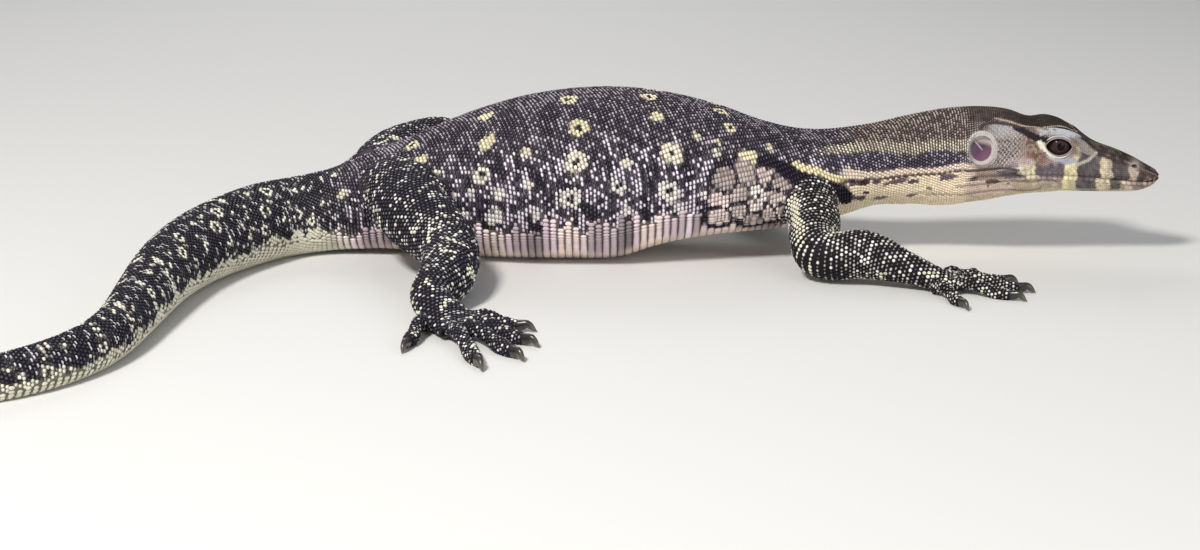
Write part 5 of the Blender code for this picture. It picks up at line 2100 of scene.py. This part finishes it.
EYE_TURN = -8
IRIS = (0.030, 0.014, 0.016)
# Colour of the painted highlight rings round the pupil
IRIS_HIGHLIGHT = (0.24, 0.15, 0.12)
EYE_RIM = (0.030, 0.016, 0.016)
PUPIL = (0.002, 0.002, 0.002)
DRUM_PURPLE = (0.062, 0.032, 0.062)
DRUM_ROSE = (0.15, 0.055, 0.10)
DRUM_GREY = (0.42, 0.36, 0.33)
DRUM_STREAK = (0.60, 0.42, 0.52)
DRUM_FOLD = (0.56, 0.49, 0.46)
CLAW_BASE = (0.020, 0.017, 0.016)
CLAW_HORN = (0.12, 0.095, 0.07)
ROUND_SIDES = 48
CLAW_SIDES = 16


def closed_surface(name, points, rows, columns, colours, ends=cap_faces):
    """A painted surface over rings of points."""
    obj = mesh_from(name, points, grid_faces(rows, columns) + ends(rows, columns))
    paint_mesh(obj.data, np.concatenate(colours))
    return obj


def eyeball(side, word):
    """Rings round the line of sight, so that the pupil and iris have clean edges."""
    frame = eye_frame(side) @ Matrix.Rotation(math.radians(EYE_TURN * side), 4, "Z")
    tilts = np.concatenate([np.linspace(0.02, 0.75, 34), np.linspace(0.8, 3.1, 30)])
    turns = round_angles(ROUND_SIDES)
    rings, colours = [], []
    for tilt in tilts:
        radius = EYE_RADIUS + 0.28 * bump(tilt, 0.75)
        round_it = np.sin(tilt) * np.cos(turns), np.sin(tilt) * np.sin(turns)
        ring = as_columns(round_it[0], side * np.cos(tilt), round_it[1])
        rings.append(apply(frame, ring * radius))
        out = EYE_RADIUS * tilt
        # Pale rings round the pupil: a painted highlight
        ring_highlight = bump(out - 1.8, 0.2) * 0.14 + bump(out - 2.9, 0.25) * 0.08
        colour = tint(IRIS, 1 + 0.8 * noise(turns * 6, turns * 0 + out * 0.6, 41))
        colour = blend(colour, IRIS_HIGHLIGHT, ring_highlight)
        colour = blend(colour, EYE_RIM, ramp(out, 3.1, 3.6))
        colours.append(blend(colour, PUPIL, 1 - ramp(out, 1.45, 1.6)))
    obj = closed_surface(f"eyeball_{word}", np.concatenate(rings), len(rings), ROUND_SIDES, colours)
    finish_piece(obj, eye_material, "eye", f"eye_{word}")


# Folds round the eye: how far out from its opening, radius, rise over the skin,
# colour, and the part of the way round that it takes, from the front of the upper lid
LID_FOLDS = (
    (0.16, 0.18, 0.0, (0.27, 0.25, 0.25), 0.0, 1.0),
    (0.9, 0.45, -0.22, (0.66, 0.63, 0.54), 0.52, 0.95),
    (2.0, 0.55, -0.36, (0.36, 0.37, 0.46), 0.53, 0.98),
    (1.0, 0.42, -0.22, (0.46, 0.47, 0.50), 0.04, 0.45),
    (1.9, 0.55, -0.4, (0.50, 0.50, 0.53), 0.08, 0.44),
)


def smooth_line(points, closed):
    """Evens out a line of points."""
    points = np.array(points, float)
    for _ in range(3):
        before, after = np.roll(points, 1, 0), np.roll(points, -1, 0)
        if not closed:
            before[0], after[-1] = points[0], points[-1]
        points = (before + 2 * points + after) / 4
    return points


def lid_edges(side, word):
    """The lids' thick pale edges, and the folds above and below them."""
    frame = lid_frame(side)
    turn = np.array(frame)[:3, :3]
    points, colours, faces, start = [], [], [], 0
    for grow, radius, out, colour, low, high in LID_FOLDS:
        outline = almond_outline(LID_OPENING[0] + 2 * grow, LID_OPENING[1] + 2 * grow, 30)
        outline = outline[int(low * len(outline)) : int(high * len(outline))]
        closed = (low, high) == (0.0, 1.0)
        centres, normals = [], []
        for outside in apply(frame, np.insert(outline, 1, side * 12.0, axis=1)):
            spot, normal, _, _ = tree.ray_cast(outside, turn[:, 1] * -side)
            centres.append(spot + normal * out)
            normals.append(normal)
        centres = smooth_line(apply(frame.inverted(), centres), closed)
        normals = unit_rows(smooth_line(np.array(normals) @ turn, closed))
        if not closed:
            radius = radius * np.sqrt(np.sin(np.linspace(0.05, math.pi - 0.05, len(centres))))
        rings = hoop_points(frame, centres, normals, radius)
        if not closed:
            rings = rings[HOOP_SIDES:-HOOP_SIDES]
        sizes = (len(rings) // HOOP_SIDES, HOOP_SIDES, start)
        faces += grid_faces(*sizes) + (band_faces(*sizes) if closed else cap_faces(*sizes))
        points.append(rings)
        colours.append(np.tile(colour, (len(rings), 1)))
        start += len(rings)
    obj = mesh_from(f"lid_edges_{word}", np.concatenate(points), faces)
    paint_mesh(obj.data, np.concatenate(colours))
    finish_piece(obj, lid_material, "head_skin")


def eardrum(side, word):
    """A thin bowed membrane with a pale streak over its little bone."""
    frame = ear_frame(side, EAR_DEPTH - 0.55)
    turns = round_angles(ROUND_SIDES)
    rings, colours = [], []
    for share in np.linspace(1.0, 0.02, 22):
        x = EAR_RADII[0] * 1.02 * share * np.cos(turns)
        z = EAR_RADII[1] * 1.02 * share * np.sin(turns)
        rings.append(as_columns(x, -side * 0.5 * (1 - share**2), z))
        streak = bump(x * 0.75 + z * 0.66 - 0.1, 0.35) * ramp(z, -0.6, 0.8)
        colour = tint(DRUM_PURPLE, 0.7 + 0.6 * noise(x / 1.5, z / 1.5, 51))
        colour = blend(colour, DRUM_ROSE, 0.8 * ramp(x * 0.7 - z * 0.7, -1.2, 2.0))
        colour = blend(colour, DRUM_GREY, 0.85 * ramp(z + 0.25 * x, 1.6, 3.6))
        colour = blend(colour, DRUM_STREAK, 0.8 * streak)
        edge = ramp(share + 0.05 * x / EAR_RADII[0], 0.80, 0.90)
        # The fold is darker at its rear: painted shade on the side of the hollow turned from the light
        fold = np.array(DRUM_FOLD) - tint((0.26, 0.26, 0.27), 1 - ramp(x, -3.5, -1.5))
        colours.append(blend(colour, fold, 0.95 * edge))
    back = [ring + (0, -side * 0.3, 0) for ring in rings[::-1]]
    points = apply(frame, np.concatenate(rings + back))
    colours += colours[::-1]
    obj = closed_surface(
        f"eardrum_{word}_skin", points, len(colours), ROUND_SIDES, colours, band_faces
    )
    finish_piece(obj, drum_material, "eardrum", f"eardrum_{word}")


def claw(name, end, toward, half, length):
    """A hooked claw, deeper than wide, with a dark base and a horn-brown tip."""
    level = toward * (1, 1, 0)
    level = level / np.linalg.norm(level)
    start = end - toward * 0.9
    knots = np.array(
        (
            start,
            end + toward * length * 0.18 + (0, 0, 0.25),
            end + level * length * 0.5 + (0, 0, 0.10 * length),
            end + level * length * 0.78,
            end + level * length * 0.93,
        )
    )
    knots[3, 2] = max(end[2] * 0.62, 1.0)
    knots[4, 2] = 0.35
    girths = half * np.array((0.60, 0.78)) * np.array((1.0, 0.98, 0.72, 0.40, 0.0))[:, None] + (0.12, 0.14)
    rings, slopes = tube(knots, girths, CLAW_SIDES, np.linspace(0, 1, 26))
    rings = list(rings) + rounded_end(rings[-1], slopes[-1], 0.12, 3)
    n = len(rings)
    along = np.repeat(np.linspace(0, 1, n), CLAW_SIDES)
    colours = blend(np.array(CLAW_BASE), CLAW_HORN, ramp(along, 0.35, 1.0))
    obj = closed_surface(name + "_horn", np.concatenate(rings), n, CLAW_SIDES, [colours])
    finish_piece(obj, claw_material, "claw", name)


for side, word in SIDES:
    eyeball(side, word)
    lid_edges(side, word)
    eardrum(side, word)
for name in LEGS:
    for claw_name, _, end, slope, half, length in digit_parts[name]:
        claw(claw_name, end, slope, half, length)


# Floor, light and camera


# Half the floor's width and how far it lies below the feet, in metres
FLOOR_REACH = 15
FLOOR_DROP = 0.0001


def floor():
    bm = bmesh.new()
    bmesh.ops.create_grid(bm, x_segments=1, y_segments=1, size=FLOOR_REACH)
    bmesh.ops.translate(bm, verts=bm.verts, vec=(0, 0, -FLOOR_DROP))
    mesh = bpy.data.meshes.new("floor")
    bm.to_mesh(mesh)
    bm.free()
    made, nodes, links, shader = new_material("floor", 0.8, 0.2)
    shader.inputs["Base Color"].default_value = (0.72, 0.715, 0.70, 1)
    mesh.materials.append(made)
    add_object("floor", mesh)


def point_at(obj, location, target):
    """Sets a light or camera at a place, facing another."""
    obj.location = location
    obj.rotation_mode = "QUATERNION"
    obj.rotation_quaternion = (target - location).to_track_quat("-Z", "Y")


def light(name, location, target, size, power, colour=(1, 1, 1)):
    data = bpy.data.lights.new(name, "AREA")
    data.shape = "DISK"
    data.size = size
    data.energy = power
    data.color = colour
    point_at(add_object(name, data), Vector(location), Vector(target))


CAMERA_DISTANCE = 0.80
CAMERA_ELEVATION = 15.0
CAMERA_AIM = Vector((0, 0, -0.0107))
FRAME_WIDTH = 0.480  # across the picture at the aim's distance
SENSOR_WIDTH = 36


def camera():
    data = bpy.data.cameras.new("camera")
    data.sensor_width = SENSOR_WIDTH
    data.lens = SENSOR_WIDTH * CAMERA_DISTANCE / FRAME_WIDTH
    data.clip_start = 0.01
    data.clip_end = 100
    obj = add_object("camera", data)
    up = math.radians(CAMERA_ELEVATION)
    back = Vector((0, -math.cos(up), math.sin(up)))
    point_at(obj, CAMERA_AIM + back * CAMERA_DISTANCE, CAMERA_AIM)
    bpy.context.scene.camera = obj


def world():
    made = bpy.data.worlds.new("studio")
    made.use_nodes = True
    back = made.node_tree.nodes["Background"]
    back.inputs["Color"].default_value = (0.86, 0.88, 0.92, 1)
    back.inputs["Strength"].default_value = 0.38
    bpy.context.scene.world = made


floor()
world()
bpy.context.scene.view_settings.view_transform = "Standard"
light("key", (-0.45, -0.75, 0.95), (0.02, 0, 0.03), 0.25, 15, (1, 0.97, 0.93))
light("fill", (0.7, -0.95, 0.3), (0.02, 0, 0.03), 0.7, 3.0, (0.95, 0.97, 1))
light("back", (-0.2, 1.0, 0.8), (0.0, 0, 0.03), 0.6, 3)
camera()
